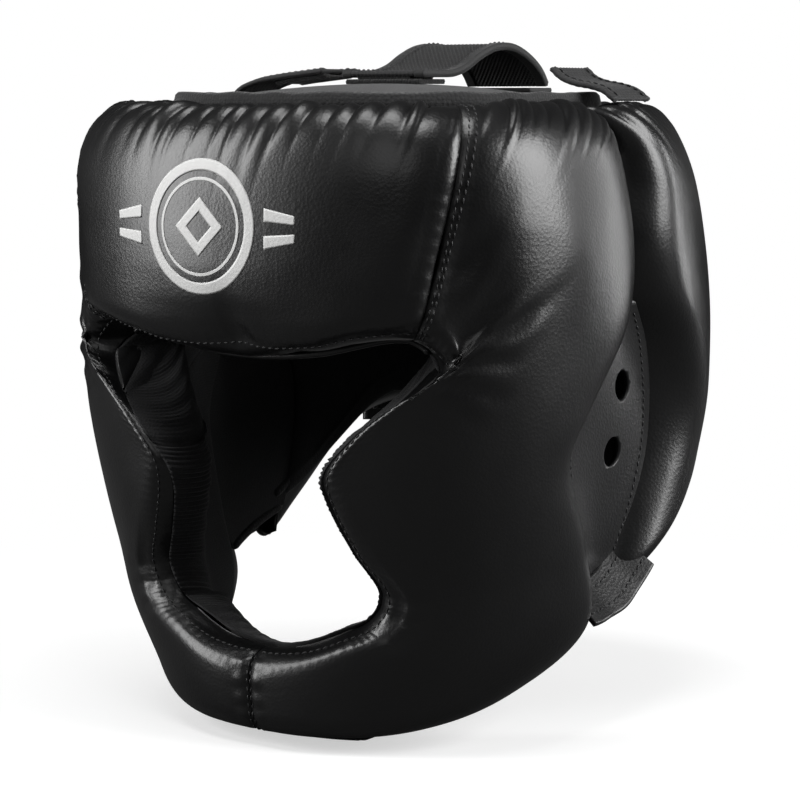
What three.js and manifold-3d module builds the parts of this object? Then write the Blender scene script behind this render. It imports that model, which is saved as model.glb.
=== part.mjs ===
// Full-face boxing headgear: a padded leather front shell round the face opening, two rear wings that swing
// open at the ears, a nape strap that closes them, a fabric crown with its mesh strap, and two crown tabs.
//
// Every pad is described on two smooth head-shaped surfaces, one where the pad's lining lies and one where
// its face lies. A place on them is (turn, height): turn is the angle in degrees round the head, 0 at the
// front and positive towards the wearer's left, and height is in millimetres, 0 close to the chin's lower edge.
// x points to the wearer's left, y to the back and z up.
import * as THREE from "three";
import { mergeVertices } from "three/addons/utils/BufferGeometryUtils.js";
import Module from "manifold-3d";

const wasm = await Module();
wasm.setup();

// ---- Driving dimensions, millimetres and degrees ----
const SKIN = 1.5; // leather
const GAP = 0.4; // between neighbouring pieces
const CORE_INSET = SKIN + 0.8; // foam core inside its cover
const WING_CORE_INSET = 3.4;
const CORE_LIP = 0.8; // upright edge of a foam core
const LINING_EDGE = 1.5; // padded lining at its edges
const BROW_SWELL = 6; // padded lining at its thickest
const CHEEK_SWELL = 5;
const CHIN_SWELL = 9;
const OPENING_ROUND = 11; // how far in from the face opening a front pad reaches full thickness
const WING_ROUND = 19; // the same for a wing's ends and its lower edge
const WING_TOP_ROUND = 33;
const SEAM = 0.024; // half of a seam's gap, as a share of one outline step
const RIM_HEIGHT = 232; // top edge of the front shell
const WING_TOP = 229;
const WING_END = 174; // turn where a wing stops, so that a V is left open at the back
const WING_FOOT = 42; // height of a wing's lower front corner
const EAR_TOP = 156; // the thin ear panel shows between these heights
const EAR_FOOT = 46;
const EAR_PANEL = 5;
const EAR_GAP = 0.6; // degrees between the ear panel and its neighbours
const EAR_LINING = { foot: 47, rearFoot: 58, top: 157, endTurn: 98, level: 0.5, thick: 2 };
const EAR_HOLE_RADIUS = 6;
const EAR_X = 96; // where the ear panel lies, outwards
const EAR_HOLES = [
  { y: 24, z: 124 },
  { y: 19, z: 98.5 },
];
const CROWN_RISE = 8.3; // dome of the crown above its rim
const CROWN_RIM = 232.2;
const CROWN_THICK = 2;
const CROWN_BAND_SEAT = 228; // height at which the lining surface sets the crown's outline
const CROWN_SLOT = { y: 53, radius: 9, straight: 44 };
const CROWN_INSIDE = 4; // how far inside the lining surface the crown's edge lies
const STRAP_WIDTH = 40;
// Strap along the lower edge behind the ear: how far it reaches above that edge at its front and rear ends,
// and where its top and lower edges lie between the lining surface, 0, and the face, 1.
const HEM = {
  startTurn: 92, endTurn: 115, aboveFront: 1.5, aboveRear: 0.4,
  width: 11, thick: 2.4, topLift: 0.42, lowLift: 0.97, steps: 8,
};
// Closing strap at the nape. It peels back as far as the turn called middle.
const NAPE_BAND = { low: 89, high: 133, thick: 2.4, middle: 173, end: 221 };
const CHIN_DROP = 9.5; // how far the chin pad is drawn down past the leather's edge
const FLAT_BASE = -9.5; // height of the flat the headgear stands on

// ---- The two head-shaped surfaces ----
// Rows: [height, half width, front reach, rear reach, front squareness, rear squareness].
const FACE_STATIONS = [
  [-10, 84, 88, 104, 2.0, 3.0],
  [10, 90, 91.5, 108, 2.05, 3.0],
  [32, 100, 93, 112, 2.2, 3.0],
  [62, 105, 96, 115, 2.45, 3.0],
  [90, 108.5, 99, 118, 2.7, 3.0],
  [120, 111.5, 102, 120, 2.95, 3.0],
  [155, 113, 105, 119, 3.1, 3.0],
  [190, 112, 106, 110.5, 3.2, 3.0],
  [215, 109.5, 105, 101, 3.3, 3.0],
  [240, 106, 102, 95, 3.4, 3.0],
];
const LINING_STATIONS = [
  [-10, 60, 67, 84, 2.2, 2.5],
  [10, 64, 69, 86, 2.25, 2.5],
  [32, 70, 70, 88, 2.3, 2.5],
  [62, 77, 72, 90, 2.35, 2.5],
  [90, 80, 74, 93, 2.4, 2.5],
  [120, 82, 77, 95, 2.5, 2.5],
  [155, 83, 79, 94, 2.5, 2.5],
  [190, 82.5, 80.5, 88, 2.5, 2.5],
  [215, 81, 80.5, 83, 2.5, 2.5],
  [240, 79.5, 79.5, 80, 2.5, 2.5],
];

// Face opening and outer edge of the front shell as [turn, height] pairs, from the middle of the forehead
// round the left side to the middle of the chin. Points with the same number face each other across the pad.
const OPENING = [
  [0, 140], [19, 142], [41, 148], [46, 138], [41, 128], [34, 120], [26.5, 110],
  [21, 97], [23, 85], [28.5, 68], [34.5, 52], [31.5, 42], [25, 37], [13, 30], [0, 27],
];
const OUTER_EDGE = [
  [0, RIM_HEIGHT], [25, RIM_HEIGHT], [50, RIM_HEIGHT], [70, RIM_HEIGHT], [90, 229], [96.5, 204], [96.5, 160],
  [85, 126], [79.5, 104], [86.5, 66], [90, 34], [70, 11], [46, 0], [23, -4.5], [0, -5.5],
];
// How far in from its outer edge a front pad reaches full thickness: [outline number, millimetres].
const OUTER_ROUND = [[0, 27], [4, 28], [6, 18], [11, 16], [12.5, 11], [14, 10]];
const BROW_SEAM = 2; // outline number of the seam between forehead and side
const TEMPLE_END = 6.5;
const CHIN_START = 11;
const CHIN_MIDDLE = OPENING.length - 1;

// Lower edge of a wing and of its front edge, as [turn, height].
const WING_LOWER = [
  [103.7, WING_FOOT], [108, 46], [114, 58], [122, 77], [130, 92], [139, 100], [156, 102], [175, 102],
];
const WING_FRONT = [
  [103.7, 42], [105.6, 54], [110.1, 72], [112.4, 84], [114.9, 103], [114.9, 114],
  [109.7, 139], [101.5, 160], [98.6, 175], [98.6, 205], [97, 220], [94, 229],
];

// ---- Small numeric helpers ----
const lerp = (a, b, t) => a + (b - a) * t;
const radians = (degrees) => (degrees * Math.PI) / 180;

// Value of the columns after the first at x, by straight lines between rows sorted on their first column.
function interpolateRows(rows, x) {
  let i = 0;
  while (i < rows.length - 2 && x > rows[i + 1][0]) i++;
  const t = THREE.MathUtils.clamp((x - rows[i][0]) / (rows[i + 1][0] - rows[i][0]), 0, 1);
  return rows[i].slice(1).map((value, column) => lerp(value, rows[i + 1][column + 1], t));
}

// Point of a head-shaped surface at (turn, height).
function surfacePoint(stations, turn, height) {
  const [halfWidth, front, rear, frontPower, rearPower] = interpolateRows(stations, height);
  const side = Math.sin(radians(turn));
  const ahead = Math.cos(radians(turn));
  const power = ahead > 0 ? frontPower : rearPower;
  const reach = ahead > 0 ? front : rear;
  const sum = Math.abs(side / halfWidth) ** power + Math.abs(ahead / reach) ** power;
  const radius = sum ** (-1 / power);
  return new THREE.Vector3(radius * side, -radius * ahead, height);
}

const facePoint = (turn, height) => surfacePoint(FACE_STATIONS, turn, height);
const liningPoint = (turn, height) => surfacePoint(LINING_STATIONS, turn, height);

// Point at (turn, height), lifted from the lining surface towards the face: lift 1 is the face, and extra
// millimetres are added along the same line.
function liftedPoint(turn, height, lift, extra = 0) {
  const lining = liningPoint(turn, height);
  const outward = facePoint(turn, height).sub(lining);
  const thickness = outward.length();
  return lining.addScaledVector(outward.normalize(), lift * thickness + extra);
}

// Closed curve through the left half of an outline and its mirror image. Its parameter is the outline number,
// negative on the right side.
function outlineCurve(points) {
  const left = points.map(([turn, height]) => new THREE.Vector3(turn, height, 0));
  const right = left.slice(1, -1).reverse().map((p) => new THREE.Vector3(-p.x, p.y, 0));
  const all = [...left, ...right];
  const curve = new THREE.CatmullRomCurve3(all, true, "centripetal");
  return (number) => curve.getPoint((((number % all.length) + all.length) % all.length) / all.length);
}

const openingAt = outlineCurve(OPENING);
const outerEdgeAt = outlineCurve(OUTER_EDGE);

// Width across the front pad at an outline number, measured on its face.
function padWidth(number) {
  const from = openingAt(number);
  const to = outerEdgeAt(number);
  return facePoint(from.x, from.y).distanceTo(facePoint(to.x, to.y));
}

// (turn, height) on the front pad: share runs from the opening, 0, to the outer edge, 1.
function acrossPad(number, share) {
  const place = openingAt(number).lerp(outerEdgeAt(number), share);
  return [place.x, place.y];
}

// Section of a pad: a quarter ellipse at each end and a straight run between. The two rounds are shares of
// the width and endShare is the share of v given to each. Returns how far across, 0 to 1, and how high.
function crownProfile(v, nearRound, farRound, endShare) {
  const fromEnd = Math.min(v, 1 - v);
  if (fromEnd >= endShare) {
    const middle = (v - endShare) / (1 - 2 * endShare);
    return { across: lerp(nearRound, 1 - farRound, middle), rise: 1 };
  }
  const angle = (fromEnd / endShare) * (Math.PI / 2);
  const inward = 1 - Math.cos(angle);
  return { across: v < 0.5 ? nearRound * inward : 1 - farRound * inward, rise: Math.sin(angle) };
}

// ---- Solids from sheets ----
const evenly = (steps) => Array.from({ length: steps + 1 }, (_, i) => i / steps);

// Closed solid between two sheets, each a function of u and v, sampled at the same values of both.
function solidBetween(topSheet, bottomSheet, uValues, vValues) {
  const uSteps = uValues.length - 1;
  const vSteps = vValues.length - 1;
  const positions = [];
  for (const sheet of [topSheet, bottomSheet])
    for (const u of uValues) for (const v of vValues) positions.push(...sheet(u, v).toArray());
  const at = (layer, i, j) => (layer * (uSteps + 1) + i) * (vSteps + 1) + j;
  const faces = [];
  const quad = (a, b, c, d) => faces.push(a, b, c, a, c, d);
  for (let i = 0; i < uSteps; i++)
    for (let j = 0; j < vSteps; j++) {
      quad(at(0, i, j), at(0, i + 1, j), at(0, i + 1, j + 1), at(0, i, j + 1));
      quad(at(1, i, j), at(1, i, j + 1), at(1, i + 1, j + 1), at(1, i + 1, j));
    }
  for (let i = 0; i < uSteps; i++) {
    quad(at(1, i, 0), at(1, i + 1, 0), at(0, i + 1, 0), at(0, i, 0));
    quad(at(0, i, vSteps), at(0, i + 1, vSteps), at(1, i + 1, vSteps), at(1, i, vSteps));
  }
  for (let j = 0; j < vSteps; j++) {
    quad(at(0, 0, j), at(0, 0, j + 1), at(1, 0, j + 1), at(1, 0, j));
    quad(at(0, uSteps, j), at(1, uSteps, j), at(1, uSteps, j + 1), at(0, uSteps, j + 1));
  }
  return facingOut(positions, faces);
}

// Geometry with its faces turned to point out of the solid.
function facingOut(positions, faces) {
  const corner = (index) => new THREE.Vector3().fromArray(positions, 3 * index);
  let volume = 0;
  for (let f = 0; f < faces.length; f += 3)
    volume += corner(faces[f]).dot(corner(faces[f + 1]).cross(corner(faces[f + 2])));
  if (volume < 0) faces.reverse();
  const geometry = new THREE.BufferGeometry();
  geometry.setAttribute("position", new THREE.Float32BufferAttribute(positions, 3));
  geometry.setIndex(faces);
  return geometry;
}

function toManifold(geometry) {
  const bare = geometry.clone();
  bare.deleteAttribute("normal");
  bare.deleteAttribute("uv");
  const merged = mergeVertices(bare, 1e-3);
  return new wasm.Manifold(
    new wasm.Mesh({
      numProp: 3,
      vertProperties: merged.attributes.position.array,
      triVerts: new Uint32Array(merged.index.array),
    }),
  );
}

function fromManifold(solid) {
  const mesh = solid.getMesh();
  const geometry = new THREE.BufferGeometry();
  geometry.setAttribute("position", new THREE.BufferAttribute(mesh.vertProperties, 3));
  geometry.setIndex(new THREE.BufferAttribute(mesh.triVerts, 1));
  return geometry;
}

const cutAway = (geometry, ...tools) =>
  fromManifold(tools.reduce((left, tool) => left.subtract(toManifold(tool)), toManifold(geometry)));

// Ribbon of constant thickness along a path in the x-z or y-z plane, as wide as asked across that plane.
// Path points are [along, height]; place turns a point into [along, across, height] world coordinates.
function ribbon(path, thickness, acrossLow, acrossHigh, place) {
  const curve = new THREE.SplineCurve(path.map(([a, b]) => new THREE.Vector2(a, b)));
  const steps = 3 * (path.length - 1);
  const sheet = (side) => (u, v) => {
    const at = curve.getPoint(u);
    const along = curve.getTangent(u);
    const offset = new THREE.Vector2(-along.y, along.x).multiplyScalar((side * thickness) / 2);
    return new THREE.Vector3(...place(at.x + offset.x, lerp(acrossLow, acrossHigh, v), at.y + offset.y));
  };
  return solidBetween(sheet(1), sheet(-1), evenly(steps), [0, 1]);
}

// Round cord along sampled points.
function cord(points, radius) {
  const curve = new THREE.CatmullRomCurve3(points);
  const section = new THREE.Shape().absarc(0, 0, radius, 0, 2 * Math.PI);
  return new THREE.ExtrudeGeometry(section, { steps: points.length, curveSegments: 3, extrudePath: curve });
}

// ---- Front shell: forehead, sides and chin share one ring of pads round the face opening ----
const CREST_ROWS = [0, 0.1, 0.2, 0.3, 0.5, 0.7, 0.8, 0.9, 1]; // across a pad, denser over its rounded edges
const ROUNDED = 0.3; // share of the rows on each rounded edge
const COLUMN = 0.5; // spacing of the columns along the ring, in outline numbers
const OVERHANG_FROM = 0.6; // share across the lining where an overhang starts
const OVERHANG_SHARE = 0.25; // share across the lining in which it grows to its full length

// The outline numbers run on past the chin's middle to the right side.
const mirrored = (number) => Math.min(Math.abs(number), Math.abs(2 * CHIN_MIDDLE - number));
const outerRound = (number) => interpolateRows(OUTER_ROUND, mirrored(number))[0];

// Columns between two outline numbers, stopping short of each by half a seam.
function ringColumns(from, to) {
  const [low, high] = from < to ? [from, to] : [to, from];
  const columns = [low + SEAM];
  for (let number = low + COLUMN; number < high - SEAM; number += COLUMN) columns.push(number);
  return [...columns, high - SEAM];
}

// Sheet of the front pad, drawn in from its edges by inset. Its distance from the lining surface is
// level(rise, full), where rise is 0 at the edges and 1 over the pad, and full is the pad's thickness.
function ringSheet(inset, level, overhang = 0) {
  return (number, v) => {
    const width = padWidth(number);
    const left = width - 2 * inset;
    const near = Math.min(OPENING_ROUND, 0.4 * width) - inset;
    const far = Math.min(outerRound(number), 0.5 * width) - inset;
    const { across, rise } = crownProfile(v, near / left, far / left, ROUNDED);
    const beyond = overhang * THREE.MathUtils.clamp((v - OVERHANG_FROM) / OVERHANG_SHARE, 0, 1);
    const [turn, height] = acrossPad(number, (inset + across * left + beyond) / width);
    const full = facePoint(turn, height).distanceTo(liningPoint(turn, height)) - inset;
    return liftedPoint(turn, height, 0, level(rise, full));
  };
}

const cupLevel = (rise, full) => full * rise;
const coreLevel = (rise, full) => Math.max(CORE_LIP, full * rise - GAP);
const floorLevel = () => GAP;
const liningTop = () => -GAP;
const liningSwell = (depth) => (rise) => -GAP - LINING_EDGE - (depth - LINING_EDGE) * rise;

const ringCover = (from, to) =>
  solidBetween(ringSheet(0, cupLevel), ringSheet(SKIN, cupLevel), ringColumns(from, to), CREST_ROWS);

const ringFoam = (from, to) =>
  solidBetween(
    ringSheet(CORE_INSET, coreLevel),
    ringSheet(CORE_INSET, floorLevel),
    ringColumns(from, to),
    CREST_ROWS,
  );

// Padded lining inside the front pads. It swells towards the head by depth, and overhang carries its outer
// edge past the leather's.
const ringLiner = (from, to, depth, overhang = 0) =>
  solidBetween(
    ringSheet(CORE_INSET, liningTop, overhang),
    ringSheet(CORE_INSET, liningSwell(depth), overhang),
    ringColumns(from, to),
    CREST_ROWS,
  );

// The chin pad hangs below the leather and is flat where the headgear stands on it.
function chinLiner() {
  const depth = 40;
  const below = new THREE.BoxGeometry(200, 200, depth).translate(0, 0, FLAT_BASE - depth / 2);
  return cutAway(ringLiner(CHIN_START, 2 * CHIN_MIDDLE - CHIN_START, CHIN_SWELL, CHIN_DROP), below);
}

// ---- Ear panels ----
// Turn of the front pad's rear edge at a height.
function earFrontTurn(height) {
  const samples = [];
  for (let number = 4; number <= 10; number += 0.25) {
    const place = outerEdgeAt(number);
    samples.push([place.y, place.x]);
  }
  samples.sort((a, b) => a[0] - b[0]);
  return interpolateRows(samples, height)[0];
}

const wingFrontTurn = (height) => interpolateRows(WING_FRONT.map(([turn, z]) => [z, turn]), height)[0];

function earPanel(side) {
  const sheet = (extra) => (u, v) => {
    const height = lerp(EAR_FOOT, EAR_TOP, v);
    const turn = lerp(earFrontTurn(height) + EAR_GAP, wingFrontTurn(height) - EAR_GAP, u);
    return liftedPoint(side * turn, height, 0.5, extra - EAR_PANEL / 2);
  };
  const punch = new THREE.CylinderGeometry(EAR_HOLE_RADIUS, EAR_HOLE_RADIUS, 60, 20).rotateZ(Math.PI / 2);
  const holes = EAR_HOLES.map(({ y, z }) => punch.clone().translate(side * EAR_X, y, z));
  return cutAway(solidBetween(sheet(EAR_PANEL), sheet(0), evenly(5), evenly(12)), ...holes);
}

// Fabric flap inside the ear panel. It stops short of the holes and its lower edge slopes up to the back.
function earLining(side) {
  const sheet = (extra) => (u, v) => {
    const height = lerp(lerp(EAR_LINING.foot, EAR_LINING.rearFoot, u), EAR_LINING.top, v);
    const from = earFrontTurn(height) + EAR_GAP;
    return liftedPoint(side * lerp(from, EAR_LINING.endTurn, u), height, 0, EAR_LINING.level + extra);
  };
  return solidBetween(sheet(EAR_LINING.thick), sheet(0), evenly(4), evenly(10));
}

// ---- Rear wings ----
// (turn, height) on a left wing: u runs from the ear to the back and v from the lower edge to the top.
function wingPlace(u, v) {
  const lowTurn = lerp(WING_LOWER[0][0], WING_END, u);
  const low = interpolateRows(WING_LOWER, lowTurn)[0];
  const frontTurn = wingFrontTurn(lerp(WING_FOOT, WING_TOP, v));
  return [lerp(frontTurn, WING_END, u), lerp(low, WING_TOP, v)];
}

const WING_LENGTH = 135; // round the outside
const WING_COLUMNS = [0, 0.1, 0.2, 0.3, 0.36, 0.42, 0.5, 0.58, 0.64, 0.7, 0.8, 0.9, 1];
const WING_ROWS = [0, 0.1, 0.2, 0.3, 0.36, 0.42, 0.48, 0.54, 0.6, 0.7, 0.8, 0.9, 1];
const wingHeight = (u) => WING_TOP - interpolateRows(WING_LOWER, lerp(WING_LOWER[0][0], WING_END, u))[0];

// Sheet of a wing, drawn in from its edges by inset, with level as for the front pads.
function wingSheet(side, inset, level) {
  return (column, row) => {
    const end = (WING_ROUND - inset) / (WING_LENGTH - 2 * inset);
    const along = crownProfile(column, end, end, ROUNDED);
    const u = (inset + along.across * (WING_LENGTH - 2 * inset)) / WING_LENGTH;
    const tall = wingHeight(u);
    const left = tall - 2 * inset;
    const up = crownProfile(row, (WING_ROUND - inset) / left, (WING_TOP_ROUND - inset) / left, ROUNDED);
    const v = (inset + up.across * left) / tall;
    const [turn, height] = wingPlace(u, v);
    const full = facePoint(turn, height).distanceTo(liningPoint(turn, height)) - inset;
    return liftedPoint(side * turn, height, 0, level(along.rise * up.rise, full));
  };
}

const wingSolid = (top, bottom) => solidBetween(top, bottom, WING_COLUMNS, WING_ROWS);
const wingCover = (side) => wingSolid(wingSheet(side, 0, cupLevel), wingSheet(side, SKIN, cupLevel));
const wingFoam = (side) =>
  wingSolid(wingSheet(side, WING_CORE_INSET, coreLevel), wingSheet(side, WING_CORE_INSET, floorLevel));
const wingLiner = (side) =>
  wingSolid(wingSheet(side, CORE_INSET, liningTop), wingSheet(side, CORE_INSET, liningSwell(CHEEK_SWELL)));

// Bound strap along the lower edge behind the ear. Its lower part shows under the ear panel and the wing.
function hemBand(side) {
  const sheet = (extra) => (u, v) => {
    const turn = lerp(HEM.startTurn, HEM.endTurn, u);
    const edge = turn < WING_LOWER[0][0] ? WING_FOOT : interpolateRows(WING_LOWER, turn)[0];
    const height = edge + lerp(HEM.aboveFront, HEM.aboveRear, u) - HEM.width * v;
    return liftedPoint(side * turn, height, lerp(HEM.topLift, HEM.lowLift, v), extra);
  };
  return solidBetween(sheet(HEM.thick / 2), sheet(-HEM.thick / 2), evenly(HEM.steps), [0, 1]);
}

// ---- Nape strap: a band over the outside of both wings ----
function napeBand(fromTurn, toTurn, low, high, offset, thick, steps) {
  const sheet = (extra) => (u, v) =>
    liftedPoint(lerp(fromTurn, toTurn, u), lerp(low, high, v), 1, offset + extra);
  return solidBetween(sheet(thick), sheet(0), evenly(steps), [0, 0.5, 1]);
}

const HOOK_STACK = { loop: 0.5, hook: 2.0, strap: 3.5, tape: 1.1 }; // distances out from the wing's face

// ---- Crown ----
// Point of the rim at a turn, out millimetres outside the lining surface.
function crownEdge(turn, out, height) {
  const outward = new THREE.Vector3(Math.sin(radians(turn)), -Math.cos(radians(turn)), 0);
  return liningPoint(turn, CROWN_BAND_SEAT).setZ(height).addScaledVector(outward, out);
}

function crownSheet(drop) {
  return (turnShare, out) => {
    const height = lerp(CROWN_RIM + CROWN_RISE, CROWN_RIM, out * out) - drop;
    const edge = crownEdge(360 * turnShare, -CROWN_INSIDE, height);
    return new THREE.Vector3(edge.x * out, edge.y * out, height);
  };
}

// Domed cap with a vent slot under the crown strap.
function crownCap() {
  const rings = 4;
  const spokes = 28;
  const positions = [];
  const faces = [];
  const layers = [crownSheet(0), crownSheet(CROWN_THICK)];
  for (const sheet of layers) {
    positions.push(0, 0, sheet(0, 0).z);
    for (let r = 1; r <= rings; r++)
      for (let s = 0; s < spokes; s++) positions.push(...sheet(s / spokes, r / rings).toArray());
  }
  const perLayer = 1 + rings * spokes;
  const at = (layer, r, s) => layer * perLayer + (r === 0 ? 0 : 1 + (r - 1) * spokes + (s % spokes));
  const quad = (a, b, c, d) => faces.push(a, b, c, a, c, d);
  for (let s = 0; s < spokes; s++) {
    faces.push(at(0, 0, 0), at(0, 1, s), at(0, 1, s + 1));
    faces.push(at(1, 0, 0), at(1, 1, s + 1), at(1, 1, s));
    for (let r = 1; r < rings; r++) {
      quad(at(0, r, s), at(0, r + 1, s), at(0, r + 1, s + 1), at(0, r, s + 1));
      quad(at(1, r, s), at(1, r, s + 1), at(1, r + 1, s + 1), at(1, r + 1, s));
    }
    quad(at(0, rings, s), at(1, rings, s), at(1, rings, s + 1), at(0, rings, s + 1));
  }
  const { y, radius, straight } = CROWN_SLOT;
  const slot = new THREE.CapsuleGeometry(radius, straight, 4, 10).rotateZ(Math.PI / 2).scale(1, 1, 3);
  return cutAway(facingOut(positions, faces), slot.translate(0, y, CROWN_RIM + CROWN_RISE));
}

// Knit band that stands round the crown's edge: [distance outside the lining surface, height] of its corners.
const BINDING_SECTION = [[-0.9, 230.2], [-1.7, 236.4], [-3.7, 236.8], [-3.2, 230.2]];

function crownBinding() {
  const spokes = 36;
  const corners = BINDING_SECTION.length;
  const positions = [];
  const faces = [];
  const at = (spoke, corner) => (spoke % spokes) * corners + (corner % corners);
  for (let s = 0; s < spokes; s++)
    for (let c = 0; c < corners; c++) {
      const [out, height] = BINDING_SECTION[c];
      positions.push(...crownEdge((360 * s) / spokes, out, height).toArray());
      faces.push(at(s, c), at(s + 1, c), at(s + 1, c + 1), at(s, c), at(s + 1, c + 1), at(s, c + 1));
    }
  return facingOut(positions, faces);
}

// Middle line of the crown strap as [y, height], from its front end to where it is sewn down at the back.
const STRAP_ARCH = [
  [-4, 244.4], [8, 244.4], [18, 244.8], [26, 246.8], [36, 251.4],
  [47, 255], [58, 255.8], [72, 252], [83, 245], [87, 240],
];
const STRAP_EDGE = 4.6; // width of each bound edge
const STRAP_THICK = { mesh: 2, edge: 2.6 };
const PATCH_THICK = 0.8;
const lengthways = (y, x, z) => [x, y, z];
const crossways = (x, y, z) => [x, y, z];

// ---- Crown tabs: on the right the tab lies over the crown, on the left its free end curls up ----
const RIGHT_TAB = [[-93, 234], [-88, 238.5], [-80, 241.5], [-68, 243.5], [-56, 244.8], [-44, 246]];
const LEFT_TAB = [[93, 234], [88, 237.5], [82, 239.3], [75, 240.5], [69, 242.6], [64.5, 246.2]];
const LEFT_TAB_SPAN = [18, 46]; // from front to back
const RIGHT_TAB_SPAN = [14, 40];
const TAB_THICK = 2.2;
const TAB_TAPE = { from: 3, below: 2, margin: 3, thick: 1 }; // hook tape under the tab's last path points
const tapePath = (path) => path.slice(TAB_TAPE.from).map(([x, z]) => [x, z - TAB_TAPE.below]);

// ---- Brow piping: a cord sewn under the forehead pad's lower edge ----
const PIPING = { reach: 2.6, below: 2.4, level: 7, radius: 1.5, steps: 13 }; // reach is an outline number

function browPiping() {
  const { reach, below, level, radius, steps } = PIPING;
  const points = evenly(steps).map((share) => {
    const number = lerp(-reach, reach, share);
    const [turn, height] = acrossPad(number, -below / padWidth(number));
    return liftedPoint(turn, height, 0, level);
  });
  return cord(points, radius);
}

// ---- Materials and the assembly ----
const leather = new THREE.MeshStandardMaterial({ color: 0x141416, roughness: 0.34, metalness: 0 });
const foam = new THREE.MeshStandardMaterial({ color: 0x8d8d8a, roughness: 0.95, metalness: 0 });
const lining = new THREE.MeshStandardMaterial({ color: 0x1d1d1f, roughness: 0.8, metalness: 0 });
const webbing = new THREE.MeshStandardMaterial({ color: 0x18181a, roughness: 0.75, metalness: 0 });
const hookAndLoop = new THREE.MeshStandardMaterial({ color: 0x101011, roughness: 0.9, metalness: 0 });

const headgear = new THREE.Group();
function add(name, geometry, material) {
  const mesh = new THREE.Mesh(geometry, material);
  mesh.name = name;
  headgear.add(mesh);
}

add("forehead_cover", ringCover(-BROW_SEAM, BROW_SEAM), leather);
add("forehead_foam", ringFoam(-BROW_SEAM, BROW_SEAM), foam);
add("forehead_liner", ringLiner(-BROW_SEAM, BROW_SEAM, BROW_SWELL), lining);
add("brow_piping", browPiping(), leather);
add("chin_foam", ringFoam(CHIN_START, 2 * CHIN_MIDDLE - CHIN_START), foam);
add("chin_liner", chinLiner(), lining);

for (const [name, side] of [["left", 1], ["right", -1]]) {
  add(`${name}_side_cover`, ringCover(side * BROW_SEAM, side * CHIN_MIDDLE), leather);
  add(`${name}_temple_foam`, ringFoam(side * BROW_SEAM, side * TEMPLE_END), foam);
  add(`${name}_cheek_foam`, ringFoam(side * TEMPLE_END, side * CHIN_START), foam);
  add(`${name}_temple_liner`, ringLiner(side * BROW_SEAM, side * TEMPLE_END, BROW_SWELL), lining);
  add(`${name}_cheek_liner`, ringLiner(side * TEMPLE_END, side * CHIN_START, CHEEK_SWELL), lining);
  add(`${name}_ear_panel`, earPanel(side), leather);
  add(`${name}_ear_lining`, earLining(side), lining);
  add(`${name}_rear_cover`, wingCover(side), leather);
  add(`${name}_rear_foam`, wingFoam(side), foam);
  add(`${name}_rear_liner`, wingLiner(side), lining);
  add(`${name}_hem_band`, hemBand(side), leather);
}

add("crown_cap", crownCap(), lining);
add("crown_binding", crownBinding(), webbing);
const half = STRAP_WIDTH / 2;
const edgeInside = half - STRAP_EDGE;
const meshHalf = edgeInside - GAP;
const patch = (wide, long, thickness, y, z) =>
  new THREE.BoxGeometry(wide, long, thickness).translate(0, y, z);
const strapRibbon = (thickness, from, to) => ribbon(STRAP_ARCH, thickness, from, to, lengthways);
add("crown_loop_patch", patch(36, 18, PATCH_THICK, 5, 241.3), hookAndLoop);
add("crown_hook_patch", patch(26, 16, PATCH_THICK, 5, 242.5), hookAndLoop);
add("crown_strap_mesh", strapRibbon(STRAP_THICK.mesh, -meshHalf, meshHalf), webbing);
add("crown_strap_binding_left", strapRibbon(STRAP_THICK.edge, edgeInside, half), webbing);
add("crown_strap_binding_right", strapRibbon(STRAP_THICK.edge, -half, -edgeInside), webbing);
add("crown_strap_anchor", patch(STRAP_WIDTH, 8, 1, 86, 237.9), webbing);

const { low, high, thick, middle, end } = NAPE_BAND;
const { loop, hook, strap, tape } = HOOK_STACK;
add("nape_strap_root", napeBand(146, middle - 0.6, low, high, strap, thick, 6), leather);
add("nape_strap", napeBand(middle, end, low, high, strap, thick, 12), leather);
add("nape_hook_patch", napeBand(194, end - 2, low + 5, high - 5, hook, tape, 7), hookAndLoop);
add("nape_loop_patch", napeBand(188, end + 1, 106, high - 3, loop, tape, 9), hookAndLoop);

const [tapeFrom, tapeTo] = [RIGHT_TAB_SPAN[0] + TAB_TAPE.margin, RIGHT_TAB_SPAN[1] - TAB_TAPE.margin];
add("left_tab", ribbon(LEFT_TAB, TAB_THICK, ...LEFT_TAB_SPAN, crossways), webbing);
add("right_tab", ribbon(RIGHT_TAB, TAB_THICK, ...RIGHT_TAB_SPAN, crossways), webbing);
add("right_tab_hook", ribbon(tapePath(RIGHT_TAB), TAB_TAPE.thick, tapeFrom, tapeTo, crossways), hookAndLoop);

// The origin is the middle of the bounding box's underside.
const box = new THREE.Box3().setFromObject(headgear);
headgear.position.set(0, -(box.min.y + box.max.y) / 2, -box.min.z);

export default headgear;
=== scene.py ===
"""Boxing headgear: leather pads, fabric crown and straps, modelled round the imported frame."""

import math

import bmesh
import bpy
import numpy as np
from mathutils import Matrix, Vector
from mathutils.bvhtree import BVHTree


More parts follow.
